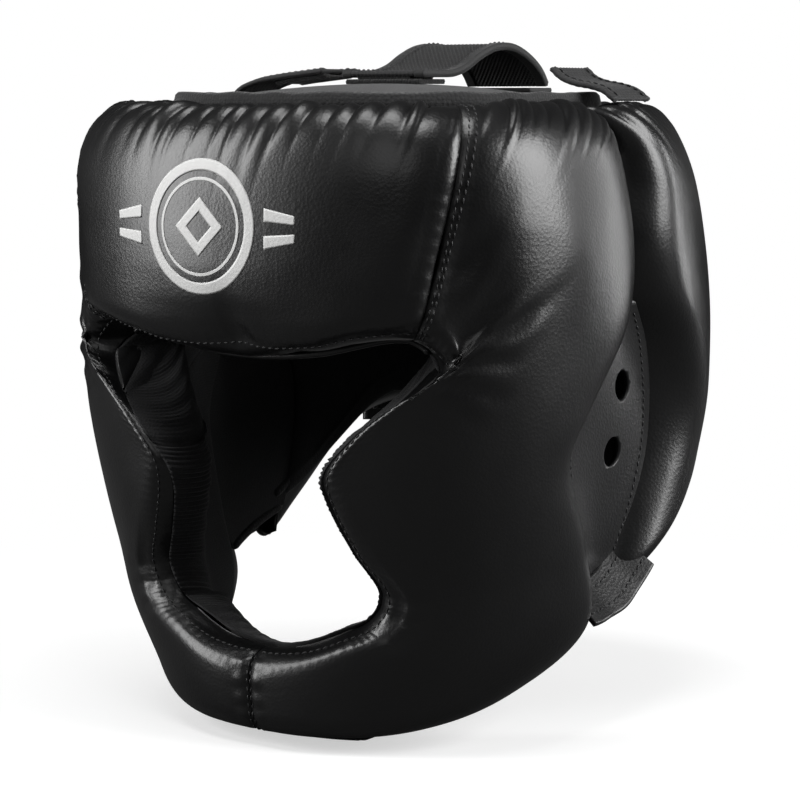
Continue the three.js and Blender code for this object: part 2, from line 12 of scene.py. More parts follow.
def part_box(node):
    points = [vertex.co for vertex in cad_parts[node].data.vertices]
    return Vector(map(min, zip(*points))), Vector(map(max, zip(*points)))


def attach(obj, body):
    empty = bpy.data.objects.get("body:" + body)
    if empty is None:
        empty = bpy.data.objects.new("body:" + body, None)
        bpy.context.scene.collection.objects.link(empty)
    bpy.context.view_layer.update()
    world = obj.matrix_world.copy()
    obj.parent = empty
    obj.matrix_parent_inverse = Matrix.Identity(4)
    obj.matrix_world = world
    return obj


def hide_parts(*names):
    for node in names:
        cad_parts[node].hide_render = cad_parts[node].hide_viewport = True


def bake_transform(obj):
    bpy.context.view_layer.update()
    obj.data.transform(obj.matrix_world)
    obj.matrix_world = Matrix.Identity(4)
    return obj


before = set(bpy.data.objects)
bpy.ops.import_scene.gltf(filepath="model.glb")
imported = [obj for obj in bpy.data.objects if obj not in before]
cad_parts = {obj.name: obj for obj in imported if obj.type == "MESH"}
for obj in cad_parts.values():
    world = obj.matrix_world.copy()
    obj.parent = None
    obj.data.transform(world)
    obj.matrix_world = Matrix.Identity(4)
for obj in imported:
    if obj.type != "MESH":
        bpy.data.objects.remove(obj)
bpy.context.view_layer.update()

# ---- The head-shaped surfaces that the pads lie on, in millimetres ----
# A place on them is (turn, height): turn in degrees round the head, 0 at the front and positive to the
# wearer's left, and height above the lower edge of the chin leather.
# Rows: height, half width, front reach, rear reach, front squareness, rear squareness.
FACE = np.array([
    [-10, 84, 88, 104, 2.0, 3.0],
    [10, 90, 91.5, 108, 2.05, 3.0],
    [32, 100, 93, 112, 2.2, 3.0],
    [62, 105, 96, 115, 2.45, 3.0],
    [90, 108.5, 99, 118, 2.7, 3.0],
    [120, 111.5, 102, 120, 2.95, 3.0],
    [155, 113, 105, 119, 3.1, 3.0],
    [190, 112, 106, 110.5, 3.2, 3.0],
    [215, 109.5, 105, 101, 3.3, 3.0],
    [240, 106, 102, 95, 3.4, 3.0],
])
LINING = np.array([
    [-10, 60, 67, 84, 2.2, 2.5],
    [10, 64, 69, 86, 2.25, 2.5],
    [32, 70, 70, 88, 2.3, 2.5],
    [62, 77, 72, 90, 2.35, 2.5],
    [90, 80, 74, 93, 2.4, 2.5],
    [120, 82, 77, 95, 2.5, 2.5],
    [155, 83, 79, 94, 2.5, 2.5],
    [190, 82.5, 80.5, 88, 2.5, 2.5],
    [215, 81, 80.5, 83, 2.5, 2.5],
    [240, 79.5, 79.5, 80, 2.5, 2.5],
])

# Outlines of the front ring of pads, as (turn, height), from the middle of the brow round the left side to
# the middle of the chin. Points with the same number face each other across the pad.
OPENING = [
    (0, 140), (19, 142), (41, 148), (46, 138), (41, 128), (34, 120), (26.5, 110),
    (21, 97), (23, 85), (28.5, 68), (34.5, 52), (31.5, 42), (25, 37), (13, 30), (0, 27),
]
OUTER = [
    (0, 232), (25, 232), (50, 232), (70, 232), (90, 229), (96.5, 204), (96.5, 160),
    (85, 126), (79.5, 104), (86.5, 66), (90, 34), (70, 11), (46, 0), (23, -4.5), (0, -5.5),
]
WING_LOWER = np.array([
    (103.7, 42), (108, 46), (114, 58), (122, 77), (130, 92), (139, 100), (156, 102), (175, 102),
])
WING_FRONT = np.array([
    (103.7, 42), (105.6, 54), (110.1, 72), (112.4, 84), (114.9, 103), (114.9, 114),
    (109.7, 139), (101.5, 160), (98.6, 175), (98.6, 205), (97, 220), (94, 229),
])
BROW_SEAM, CHIN_MIDDLE = 2, len(OPENING) - 1  # outline numbers of the temple seams and the chin seam
WING_FOOT, WING_TOP, WING_END = 42, 229, 174  # lowest and highest height of a wing, and its rear turn
WING_LENGTH, WING_ROUND = 135, 19  # length round the head, and the radius of its stuffed ends
SIDES = (("left", 1), ("right", -1))

MM = 0.001
ANCHOR_Y, ANCHOR_Z = 86, 237.9  # middle of the crown strap's sewn end in the millimetre frame above
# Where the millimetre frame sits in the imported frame.
anchor_low, anchor_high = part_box("crown_strap_anchor")
ORIGIN = np.array([
    0,
    (anchor_low.y + anchor_high.y) / 2 - ANCHOR_Y * MM,
    (anchor_low.z + anchor_high.z) / 2 - ANCHOR_Z * MM,
])


def hermite(start, end, start_slope, end_slope, t):
    """Cubic curve from start to end for t from 0 to 1."""
    return (
        start * (1 + 2 * t) * (1 - t) ** 2 + start_slope * t * (1 - t) ** 2
        + end * t * t * (3 - 2 * t) + end_slope * t * t * (t - 1)
    )


def smooth_rows(rows, x):
    """Values of the columns after the first at x, by a smooth curve through rows sorted on their first."""
    xs, ys = rows[:, 0], rows[:, 1:]
    slopes = np.gradient(ys, xs, axis=0)
    x = np.asarray(x, float)
    i = np.clip(np.searchsorted(xs, x) - 1, 0, len(xs) - 2)
    step = (xs[i + 1] - xs[i])[..., None]
    t = np.clip((x - xs[i]) / (xs[i + 1] - xs[i]), 0, 1)[..., None]
    return hermite(ys[i], ys[i + 1], slopes[i] * step, slopes[i + 1] * step, t)


def on_surface(rows, turn, height):
    """Points of a head-shaped surface, in millimetres."""
    turn, height = np.broadcast_arrays(np.asarray(turn, float), np.asarray(height, float))
    half, front, rear, p_front, p_rear = np.moveaxis(smooth_rows(rows, height), -1, 0)
    side, ahead = np.sin(np.radians(turn)), np.cos(np.radians(turn))
    power = np.where(ahead > 0, p_front, p_rear)
    reach = np.where(ahead > 0, front, rear)
    radius = (np.abs(side / half) ** power + np.abs(ahead / reach) ** power) ** (-1 / power)
    return np.stack([radius * side, -radius * ahead, height], -1)


def unit(v):
    return v / np.maximum(np.linalg.norm(v, axis=-1, keepdims=True), 1e-9)


def lifted(turn, height, level=0.0, share=0.0):
    """Points at (turn, height), raised from the lining towards the face by level mm plus share of the way."""
    low = on_surface(LINING, turn, height)
    gap = on_surface(FACE, turn, height) - low
    return low + unit(gap) * (level + share * np.linalg.norm(gap, axis=-1))[..., None]


def thickness(turn, height):
    return np.linalg.norm(on_surface(FACE, turn, height) - on_surface(LINING, turn, height), axis=-1)


def closed_curve(left_half):
    """Smooth closed curve through the left half of an outline and its mirror image, by outline number."""
    left = np.array(left_half, float)
    right = left[1:-1][::-1] * [-1, 1]
    points = np.concatenate([left, right])
    count = len(points)

    def at(number):
        number = np.mod(np.asarray(number, float), count)
        i = np.floor(number).astype(int)
        t = (number - i)[..., None]
        p0, p1, p2, p3 = (points[(i + k) % count] for k in (-1, 0, 1, 2))
        steps = (p1 - p0, p2 - p1, p3 - p2)
        d0, d1, d2 = (np.sqrt(np.linalg.norm(step, axis=-1, keepdims=True)) for step in steps)
        m1 = ((p1 - p0) / d0 - (p2 - p0) / (d0 + d1) + (p2 - p1) / d1) * d1
        m2 = ((p2 - p1) / d1 - (p3 - p1) / (d1 + d2) + (p3 - p2) / d2) * d1
        return hermite(p1, p2, m1, m2, t)

    return at


opening_at = closed_curve(OPENING)
outer_at = closed_curve(OUTER)


def pad_width(number):
    near, far = (on_surface(FACE, *np.moveaxis(edge(number), -1, 0)) for edge in (opening_at, outer_at))
    return np.linalg.norm(near - far, axis=-1)


def across_pad(number, across):
    """Turn and height of the places that lie across millimetres in from the opening."""
    near, far = opening_at(number), outer_at(number)
    place = near + (far - near) * (across / pad_width(number))[..., None]
    return place[..., 0], place[..., 1]


def pillow(t, power=2.35):
    """Rise of a stuffed edge, 0 at t = 0 and 1 from t = 1 on."""
    t = np.clip(t, 0, 1)
    return (1 - (1 - t) ** power) ** (1 / power)


# ---- Meshes from grids ----
def to_frame(points):
    return points * MM + ORIGIN


def mesh_object(name, points, faces, turn_out=False):
    """Smooth-shaded object from points in millimetres; turn_out makes all its faces point outwards."""
    mesh = bpy.data.meshes.new(name)
    mesh.from_pydata(to_frame(points).tolist(), [], faces if isinstance(faces, list) else faces.tolist())
    shade_smooth(mesh)
    if turn_out:
        made = bmesh.new()
        made.from_mesh(mesh)
        bmesh.ops.recalc_face_normals(made, faces=made.faces)
        made.to_mesh(mesh)
        made.free()
    mesh.update()
    obj = bpy.data.objects.new(name, mesh)
    bpy.context.scene.collection.objects.link(obj)
    return obj


def shade_smooth(mesh):
    mesh.polygons.foreach_set("use_smooth", [True] * len(mesh.polygons))


def grid_index(grid):
    n, m = grid.shape[:2]
    return np.arange(n * m).reshape(n, m)


def looped(index):
    """Index of a grid that runs round to its start along its first axis."""
    return np.vstack([index, index[:1]])


def quads(index):
    return np.stack([index[:-1, :-1], index[1:, :-1], index[1:, 1:], index[:-1, 1:]], -1).reshape(-1, 4)


def outward_faces(points, faces):
    """The faces, turned over if they enclose a negative volume."""
    a, b, c, d = (points[faces[:, k]] for k in range(4))
    volume = np.sum(a * np.cross(b, c)) + np.sum(a * np.cross(c, d))
    return faces[:, ::-1] if volume < 0 else faces


def closed_pad(name, top, bottom, loop=False):
    """Closed mesh from two grids that meet at their borders: the bottom's own border points are not used.
    A loop has no border along its first axis, where it runs round to its start."""
    index = grid_index(top)
    under = index.copy()
    inner = slice(None) if loop else slice(1, -1)
    under[inner, 1:-1] = index.size + grid_index(bottom[inner, 1:-1])
    points = np.concatenate([top.reshape(-1, 3), bottom[inner, 1:-1].reshape(-1, 3)])
    if loop:
        index, under = looped(index), looped(under)
    faces = np.concatenate([quads(index), quads(under)[:, ::-1]])
    return mesh_object(name, points, outward_faces(points, faces))


def grid_normals(grid, outward=None):
    """Unit normals of a grid of points, turned the same way as outward if that is given."""
    normal = unit(np.cross(np.gradient(grid, axis=0), np.gradient(grid, axis=1)))
    if outward is not None and np.sum(normal * outward) < 0:
        normal = -normal
    return normal


def border_mask(grid):
    mask = np.zeros(grid.shape[:2], bool)
    mask[[0, -1], :] = True
    mask[:, [0, -1]] = True
    return mask[..., None]


def raised(grid, direction, relief):
    """The grid moved along direction by relief, with its border held."""
    return grid + direction * np.where(border_mask(grid), 0, relief[..., None])


def slab(name, middle, thick, outward=None):
    """Thin closed piece with rounded edges round a grid of points; thick is a number or a value per point."""
    half = grid_normals(middle, outward) * np.asarray(thick)[..., None] / 2
    return closed_pad(name, np.where(border_mask(middle), middle, middle + half), middle - half)


def edged(count, length, edge=0.7):
    """Shares from 0 to 1 with a short first and last step, for a rounded edge."""
    e = edge / length
    return np.concatenate([[0, 0.35 * e], np.linspace(e, 1 - e, count), [1 - 0.35 * e, 1]])


def grid_run(grid, axis):
    """Distance of each point from the grid's first one along an axis."""
    steps = np.diff(grid, axis=axis, prepend=np.take(grid, [0], axis))
    return np.cumsum(np.linalg.norm(steps, axis=-1), axis=axis)


def face_run(turn, height):
    """Distance along a line of places on the face surface, as a column."""
    return grid_run(on_surface(FACE, turn, height), 0)[:, None]


def at_run(points, run, distance):
    """Points at distances along a path whose own points lie at run."""
    return np.column_stack([np.interp(distance, run, column) for column in points.T])


def smooth_path(points, count):
    """Evenly spaced points of a smooth curve through the given ones."""
    points = np.array(points, float)
    rows = np.column_stack([grid_run(points, 0), points])
    fine = smooth_rows(rows, np.linspace(0, rows[-1, 0], 12 * count))
    run = grid_run(fine, 0)
    return at_run(fine, run, np.linspace(0, run[-1], count))


def tube(name, points, radius, up=(0, 0, 1)):
    """Cord round a path, tapered at its ends."""
    sides = 12
    tangent = unit(np.gradient(points, axis=0))
    a = unit(np.cross(tangent, np.broadcast_to(up, points.shape)))
    b = np.cross(a, tangent)
    angle = np.linspace(0, 2 * np.pi, sides, endpoint=False)[:, None]
    size = np.full((len(points), 1, 1), float(radius))
    size[[0, -1]] *= 0.15
    size[[1, -2]] *= 0.8
    grid = points[:, None] + size * (a[:, None] * np.cos(angle) + b[:, None] * np.sin(angle))
    index = looped(grid_index(grid).T).T
    caps = [index[0, :-1][::-1].tolist(), index[-1, :-1].tolist()]
    return mesh_object(name, grid.reshape(-1, 3), quads(index).tolist() + caps, turn_out=True)


STITCH_LENGTH, STITCH_PITCH, STITCH_RADIUS = 2.3, 3.1, 0.36


def stitches(name, rows):
    """One mesh of short thread capsules along rows, each a pair of grids: points and the normals there."""
    rings, sides = 5, 6
    span = np.linspace(-1, 1, rings)
    girth = np.sqrt(1 - (0.97 * span) ** 4)
    angle = np.linspace(0, 2 * np.pi, sides, endpoint=False)
    vertices, faces = [], []
    for points, normals in rows:
        run = grid_run(points, 0)
        count = max(int(run[-1] / STITCH_PITCH), 1)
        at = (np.arange(count) + 0.5) / count * run[-1]
        place = at_run(points, run, at)
        normal = unit(at_run(normals, run, at))
        tangent = unit(at_run(points, run, at + 0.5) - at_run(points, run, at - 0.5))
        side = unit(np.cross(normal, tangent))
        tangent = unit(tangent + 0.12 * side)
        dip = STITCH_RADIUS * (0.35 - 0.6 * span ** 2)
        for i in range(count):
            base = len(vertices)
            centre = place[i] + np.outer(span * STITCH_LENGTH / 2, tangent[i]) + np.outer(dip, normal[i])
            for k in range(rings):
                for turn in angle:
                    offset = side[i] * math.cos(turn) + normal[i] * math.sin(turn)
                    vertices.append(centre[k] + offset * STITCH_RADIUS * girth[k])
            for k in range(rings - 1):
                for j in range(sides):
                    a, b = base + k * sides + j, base + k * sides + (j + 1) % sides
                    faces.append((a, b, b + sides, a + sides))
            faces.append(tuple(range(base, base + sides))[::-1])
            faces.append(tuple(range(base + (rings - 1) * sides, base + rings * sides)))
    return mesh_object(name, np.array(vertices), faces, turn_out=True)


def lengthwise(surface, normal, columns, trim=3):
    """Stitch rows along a strip, at the given columns."""
    return [(surface[trim:-trim, k], normal[trim:-trim, k]) for k in columns]


def finish_piece(obj, body, material, slot, *nodes):
    obj.data.materials.clear()
    obj.data.materials.append(material)
    if body:
        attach(obj, body)
    if nodes:
        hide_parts(*nodes)
    return obj


def sew(name, rows, body):
    return finish_piece(stitches(name, rows), body, thread, "webbing")


def apply_modifiers(obj):
    graph = bpy.context.evaluated_depsgraph_get()
    made = bpy.data.meshes.new_from_object(obj.evaluated_get(graph), depsgraph=graph)
    old = obj.data
    obj.modifiers.clear()
    obj.data = made
    bpy.data.meshes.remove(old)


def cut_out(obj, cutter):
    """Takes the cutter's shape out of a piece and removes the cutter."""
    cut = obj.modifiers.new("cut", "BOOLEAN")
    cut.operation, cut.object, cut.solver = "DIFFERENCE", cutter, "EXACT"
    apply_modifiers(obj)
    bpy.data.objects.remove(cutter, do_unlink=True)
    shade_smooth(obj.data)


# ---- Materials ----
class Nodes:
    """Short names for building one material."""

    def __init__(self, name):
        self.material = bpy.data.materials.new(name)
        self.material.use_nodes = True
        self.tree = self.material.node_tree
        self.shader = self.tree.nodes["Principled BSDF"]
        self.place = self.add("ShaderNodeTexCoord").outputs["Object"]

    def add(self, kind, **settings):
        node = self.tree.nodes.new(kind)
        for key, value in settings.items():
            setattr(node, key, value)
        return node

    def link(self, a, b):
        self.tree.links.new(a, b)

    def texture(self, kind, scale, **inputs):
        node = self.add(kind)
        self.link(self.place, node.inputs["Vector"])
        node.inputs["Scale"].default_value = scale
        for key, value in inputs.items():
            node.inputs[key].default_value = value
        return node

    def math(self, operation, a, b=0.0):
        node = self.add("ShaderNodeMath", operation=operation)
        for socket, value in zip(node.inputs, (a, b)):
            if isinstance(value, (int, float)):
                socket.default_value = value
            else:
                self.link(value, socket)
        return node.outputs[0]

    def stretch(self, value, *limits):
        """Value mapped from the range of the first two limits to that of the last two."""
        node = self.add("ShaderNodeMapRange")
        self.link(value, node.inputs["Value"])
        for key, limit in zip(("From Min", "From Max", "To Min", "To Max"), limits):
            node.inputs[key].default_value = limit
        return node.outputs["Result"]

    def colours(self, value, dark, light):
        node = self.add("ShaderNodeMix", data_type="RGBA")
        self.link(value, node.inputs["Factor"])
        node.inputs["A"].default_value = (*dark, 1)
        node.inputs["B"].default_value = (*light, 1)
        self.link(node.outputs["Result"], self.shader.inputs["Base Color"])

    def bump(self, height, distance, strength=1.0, before=None):
        node = self.add("ShaderNodeBump")
        node.inputs["Distance"].default_value = distance
        node.inputs["Strength"].default_value = strength
        self.link(height, node.inputs["Height"])
        if before:
            self.link(before, node.inputs["Normal"])
        return node.outputs["Normal"]

    def set(self, **inputs):
        for key, value in inputs.items():
            socket = self.shader.inputs[key.replace("_", " ")]
            if isinstance(value, (int, float, tuple)):
                socket.default_value = value
            else:
                self.link(value, socket)

    def weave(self, pitch, looseness=0.5):
        """Small raised cells of a knit or woven cloth, pitch metres apart."""
        cells = self.texture("ShaderNodeTexVoronoi", 1 / pitch, Randomness=looseness)
        return self.math("SUBTRACT", 1.0, cells.outputs["Distance"])

    def twill(self, pitch):
        """Slanting ridges, pitch metres apart, broken up by noise."""
        wave = self.texture("ShaderNodeTexWave", 1 / (2 * pitch), Distortion=1.2)
        wave.bands_direction = "DIAGONAL"
        wave.inputs["Detail Scale"].default_value = 3
        return wave.outputs["Fac"]


def leather_material(name, colour=(0.0032, 0.0032, 0.0034), grain=0.00005, gloss=0.31):
    n = Nodes(name)
    pebble = n.texture("ShaderNodeTexVoronoi", 820, Randomness=1.0).outputs["Distance"]
    fine = n.texture("ShaderNodeTexNoise", 1500, Detail=3.0).outputs["Fac"]
    broad = n.texture("ShaderNodeTexNoise", 26, Detail=4.0).outputs["Fac"]
    wrinkle = n.texture("ShaderNodeTexNoise", 170, Detail=5.0, Roughness=0.6).outputs["Fac"]
    edge = n.add("ShaderNodeNewGeometry").outputs["Pointiness"]
    # Painted highlight: the colour is lighter on sharp convex edges and crests (Pointiness), standing in for
    # thin rim highlights; the broad noise adds random tone.
    painted_edge_highlight = n.stretch(edge, 0.53, 0.60, 0.0, 0.35)
    lift = n.math("ADD", n.math("MULTIPLY", broad, 0.6), painted_edge_highlight)
    n.colours(lift, colour, tuple(2.2 * c for c in colour))
    patches = n.stretch(broad, 0.3, 0.7, gloss - 0.04, gloss + 0.06)
    rough = n.math("ADD", patches, n.math("MULTIPLY", fine, 0.05))
    first = n.bump(n.math("ADD", pebble, n.math("MULTIPLY", fine, 0.35)), grain)
    n.set(Roughness=rough, Normal=n.bump(wrinkle, 0.0001, 0.5, first))
    n.set(Coat_Weight=0.18, Coat_Roughness=0.2, Specular_IOR_Level=0.5)
    return n.material


def fabric_material(name, colour, pitch, depth, sheen=0.25, roughness=0.85, ridged=False):
    n = Nodes(name)
    threads = n.twill(pitch) if ridged else n.weave(pitch)
    fuzz = n.texture("ShaderNodeTexNoise", 2200, Detail=2.0).outputs["Fac"]
    patches = n.texture("ShaderNodeTexNoise", 45, Detail=4.0).outputs["Fac"]
    shade = n.math("ADD", n.math("MULTIPLY", threads, 0.6), n.math("MULTIPLY", patches, 0.4))
    n.colours(shade, tuple(0.45 * c for c in colour), tuple(1.7 * c for c in colour))
    relief = n.math("ADD", threads, n.math("MULTIPLY", fuzz, 0.4))
    n.set(Roughness=n.stretch(fuzz, 0.2, 0.8, roughness - 0.08, roughness + 0.08))
    n.set(Sheen_Weight=sheen, Sheen_Roughness=0.4, Normal=n.bump(relief, depth))
    return n.material


def thread_material(name, colour):
    n = Nodes(name)
    twist = n.texture("ShaderNodeTexWave", 900, Distortion=1.5).outputs["Fac"]
    n.colours(twist, tuple(0.6 * c for c in colour), tuple(1.5 * c for c in colour))
    n.set(Roughness=0.55, Normal=n.bump(twist, 0.0001, 0.6))
    return n.material


def print_material(name):
    n = Nodes(name)
    pebble = n.texture("ShaderNodeTexVoronoi", 820, Randomness=1.0).outputs["Distance"]
    blotch = n.texture("ShaderNodeTexNoise", 90, Detail=4.0).outputs["Fac"]
    n.colours(blotch, (0.74, 0.74, 0.73), (0.86, 0.86, 0.85))
    n.set(Roughness=n.stretch(blotch, 0.3, 0.7, 0.42, 0.55), Normal=n.bump(pebble, 0.00006))
    return n.material


leather = leather_material("black_leather")
thin_leather = leather_material("thin_black_leather", (0.0055, 0.0055, 0.0058), 0.00008, 0.40)
lining_cloth = fabric_material("lining_cloth", (0.010, 0.010, 0.011), 0.0010, 0.00016, 0.12)
crown_cloth = fabric_material("crown_cloth", (0.020, 0.020, 0.021), 0.0012, 0.0002, 0.2, 0.8, True)
knit_cloth = fabric_material("knit_cloth", (0.010, 0.010, 0.0105), 0.0014, 0.0003, 0.2, 0.85)
strap_cloth = fabric_material("strap_cloth", (0.011, 0.011, 0.0115), 0.0008, 0.00012, 0.12, 0.7)
hook_cloth = fabric_material("hook_and_loop_tape", (0.009, 0.009, 0.009), 0.0013, 0.0005, 0.25, 0.9)
thread = thread_material("black_thread", (0.016, 0.016, 0.017))


# ---- Sections of a stuffed pad ----
def ellipse(angle, power=2.2):
    """Cosine and sine of a slightly squared circle."""
    c, d = np.cos(np.radians(angle)), np.sin(np.radians(angle))
    return np.abs(c) ** (2 / power) * np.sign(c), np.abs(d) ** (2 / power) * np.sign(d)


def stuffed_edge(angle, radius, return_radius, middle):
    """How far in from the outline and how high, as a share of the thickness, a stuffed edge is at an angle
    round it: 90 is the face, 0 the outline and -90 the lining side."""
    c, d = ellipse(angle)
    inward = np.where(angle >= 0, radius, return_radius) * (1 - c)
    level = np.where(angle >= 0, middle + (1 - middle) * d, middle * (1 + d))
    return inward, level


NEAR_PART, FAR_PART = 0.3, 0.66  # where a section's flat face begins and ends


def in_parts(is_first, is_last, first, middle, last):
    return np.where(is_first, first, np.where(is_last, last, middle))


def stuffed_section(t, width, near, far):
    """Section across a pad for t from 0 to 1: distance from the near outline in mm and level as a share.
    near and far are each (angle where the leather ends, radius, return radius, level of the outline)."""
    near_angle = near[0] + (90 - near[0]) * np.clip(t / NEAR_PART, 0, 1)
    far_angle = far[0] + (90 - far[0]) * np.clip((1 - t) / (1 - FAR_PART), 0, 1)
    near_in, near_level = stuffed_edge(near_angle, *near[1:])
    far_in, far_level = stuffed_edge(far_angle, *far[1:])
    flat = np.clip((t - NEAR_PART) / (FAR_PART - NEAR_PART), 0, 1)
    flat_width = width - near[1] - far[1]
    parts = (t <= NEAR_PART, t >= FAR_PART)
    across = in_parts(*parts, near_in, near[1] + flat * flat_width, width - far_in)
    return across, in_parts(*parts, near_level, 1.0, far_level)


def along(table, number):
    """Smooth value at an outline number of a table of (number, value), the same on both sides."""
    number = np.abs(np.mod(number + CHIN_MIDDLE, 2 * CHIN_MIDDLE) - CHIN_MIDDLE)
    return smooth_rows(np.array(table, float), number)[..., 0]


# By outline number: where the leather ends at the opening, as an angle round the edge; the radii of both
# edges; how far the outer walls lean in under the pad; and the level of the outer outline.
LEATHER_START = [(0, -20), (2.4, -10), (3, 10), (4.5, 30), (6.3, 55), (8, 25), (10.5, 8), (12, 0), (14, -20)]
OPENING_ROUND = [(0, 14), (2, 12), (3, 9), (4.5, 11), (6.5, 11), (9, 10), (11, 10), (14, 11)]
OUTER_ROUND = [(0, 27), (4, 28), (6, 18), (8, 17), (9.5, 18), (11, 15), (12.5, 11), (14, 10)]
OUTER_RETURN = [(0, 7), (5, 6), (6, 4), (8, 4), (9, 12), (10, 19), (11, 13), (12, 6), (14, 3)]
OUTER_MIDDLE = [(0, 0.5), (5, 0.45), (7, 0.3), (9, 0.5), (11, 0.6), (14, 0.66)]
# How far inside the outer outline the lining ends, in millimetres; the chin pad hangs past it.
LINING_END = [(0, 6), (5, 6), (6, 4), (8, 4), (9, 12), (10, 19), (11, 12), (12, 1), (13, -7), (14, -9)]
FLAT_BASE = -9.4  # height of the flat under the chin pad
START_SMALLER = 1.2  # how much thinner a cover is before its stuffing swells it


# ---- Gathers, puckers, creases and the swell of the stuffing ----
def smoothstep(low, high, x):
    t = np.clip((x - low) / (high - low), 0, 1)
    return t * t * (3 - 2 * t)


def bell(x, middle, wide):
    return np.exp(-((x - middle) / wide) ** 2)


def uneven_wave(x, pitch, wander, slow):
    """Sine wave whose phase wanders, so that its pitch is uneven."""
    return np.sin(x * 2 * np.pi / pitch + wander * np.sin(x / slow))


class Gathers:
    """Irregular gathers along a sewn edge: round crests and sharp valleys."""

    def __init__(self, length, pitch, seed, slant=0.0):
        random = np.random.default_rng(seed)
        steps = pitch * random.uniform(0.6, 1.5, int(3 * length / pitch) + 40)
        self.edges = np.cumsum(steps) - 1.2 * length
        self.height = random.uniform(0.45, 1.25, len(steps))
        self.reach = random.uniform(0.6, 1.45, len(steps))
        self.slant = slant

    def __call__(self, s, away):
        """Height at s millimetres along the edge and away from it."""
        s = s + self.slant * away
        i = np.clip(np.searchsorted(self.edges, s) - 1, 0, len(self.edges) - 2)
        t = (s - self.edges[i]) / (self.edges[i + 1] - self.edges[i])
        crest = np.abs(np.sin(np.pi * t)) ** 0.65
        blend = smoothstep(0.0, 0.12, t) * smoothstep(0.0, 0.12, 1 - t)
        height = self.height[i] * blend + 0.8 * (1 - blend)
        reach = self.reach[i] * blend + 1.0 * (1 - blend)
        return (crest * height - 0.55) * bell(np.maximum(away - 16, 0), 0, 15 * reach)


def from_polyline(turn, height, points):
    """Distance in millimetres from a polyline of (turn, height), and the share along it."""
    scale = np.array([1.8, 1.0])
    q = np.stack([turn, height], -1) * scale
    best, share = np.full(turn.shape, 1e9), np.zeros(turn.shape)
    path = np.array(points, float) * scale
    for k in range(len(path) - 1):
        a, d = path[k], path[k + 1] - path[k]
        t = np.clip(np.sum((q - a) * d, -1) / np.sum(d * d), 0, 1)
        distance = np.linalg.norm(q - a - t[..., None] * d, axis=-1)
        nearer = distance < best
        best = np.where(nearer, distance, best)
        share = np.where(nearer, (k + t) / (len(path) - 1), share)
    return best, share


# Creases of the front pads: side (0 for both), [(turn, height), ...], depth and width in millimetres.
CREASES = [
    (0, [(46, 140), (53, 142), (60, 141)], 1.0, 2.4),
    (0, [(45, 134), (52, 131), (58, 126)], 0.7, 2.2),
    (0, [(43, 129), (49, 123), (53, 116)], 0.4, 2.0),
    (0, [(33, 47), (39, 44), (45, 43)], 0.4, 2.2),
    (0, [(32, 43), (37, 37), (42, 34)], 0.25, 2.2),
    (0, [(34, 52), (40, 51), (46, 53)], 0.2, 2.0),
    (-1, [(-48, 151), (-58, 157), (-68, 168), (-76, 184)], 1.5, 3.4),
    (-1, [(-50, 146), (-62, 149), (-74, 157), (-84, 170)], 1.4, 3.2),
    (-1, [(-50, 141), (-63, 140), (-76, 143)], 1.0, 3.0),
    (1, [(50, 149), (58, 155), (63, 165)], 0.7, 2.6),
]


def crease_depth(turn, height):
    total = np.zeros(turn.shape)
    for side, points, depth, wide in CREASES:
        for sign in (side,) if side else (1, -1):
            path = [(sign * abs(t), h) for t, h in points]
            distance, share = from_polyline(turn, height, path)
            fade = smoothstep(0, 0.15, share) * (1 - smoothstep(0.55, 1.0, share)) + 0.25 * (share < 0.15)
            total += depth * fade * (bell(distance, 0, wide) - 0.45 * bell(distance, 2.2 * wide, wide))
    return total


def undulation(points, seed):
    """Broad, shallow unevenness of a stuffed pad."""
    random = np.random.default_rng(seed)
    total = np.zeros(points.shape[:-1])
    for _ in range(9):
        direction = unit(random.normal(size=3))
        wave = random.uniform(24, 60)
        total += np.sin(points @ direction * 2 * np.pi / wave + random.uniform(0, 6.28)) * wave / 60
    return total / 9


CLOTH_COLUMNS, CLOTH_ROWS, CLOTH_FRAMES = 56, 26, 18
CLOTH_CAP, CLOTH_BLURS = 3.0, 4
CLOTH_SETTINGS = {
    "quality": 6, "mass": 0.25, "tension_stiffness": 12, "compression_stiffness": 12, "shear_stiffness": 4,
    "bending_stiffness": 0.4, "vertex_group_mass": "pinned", "shrink_min": -0.012, "shrink_max": -0.012,
    "use_pressure": True, "uniform_pressure_force": 4,
}


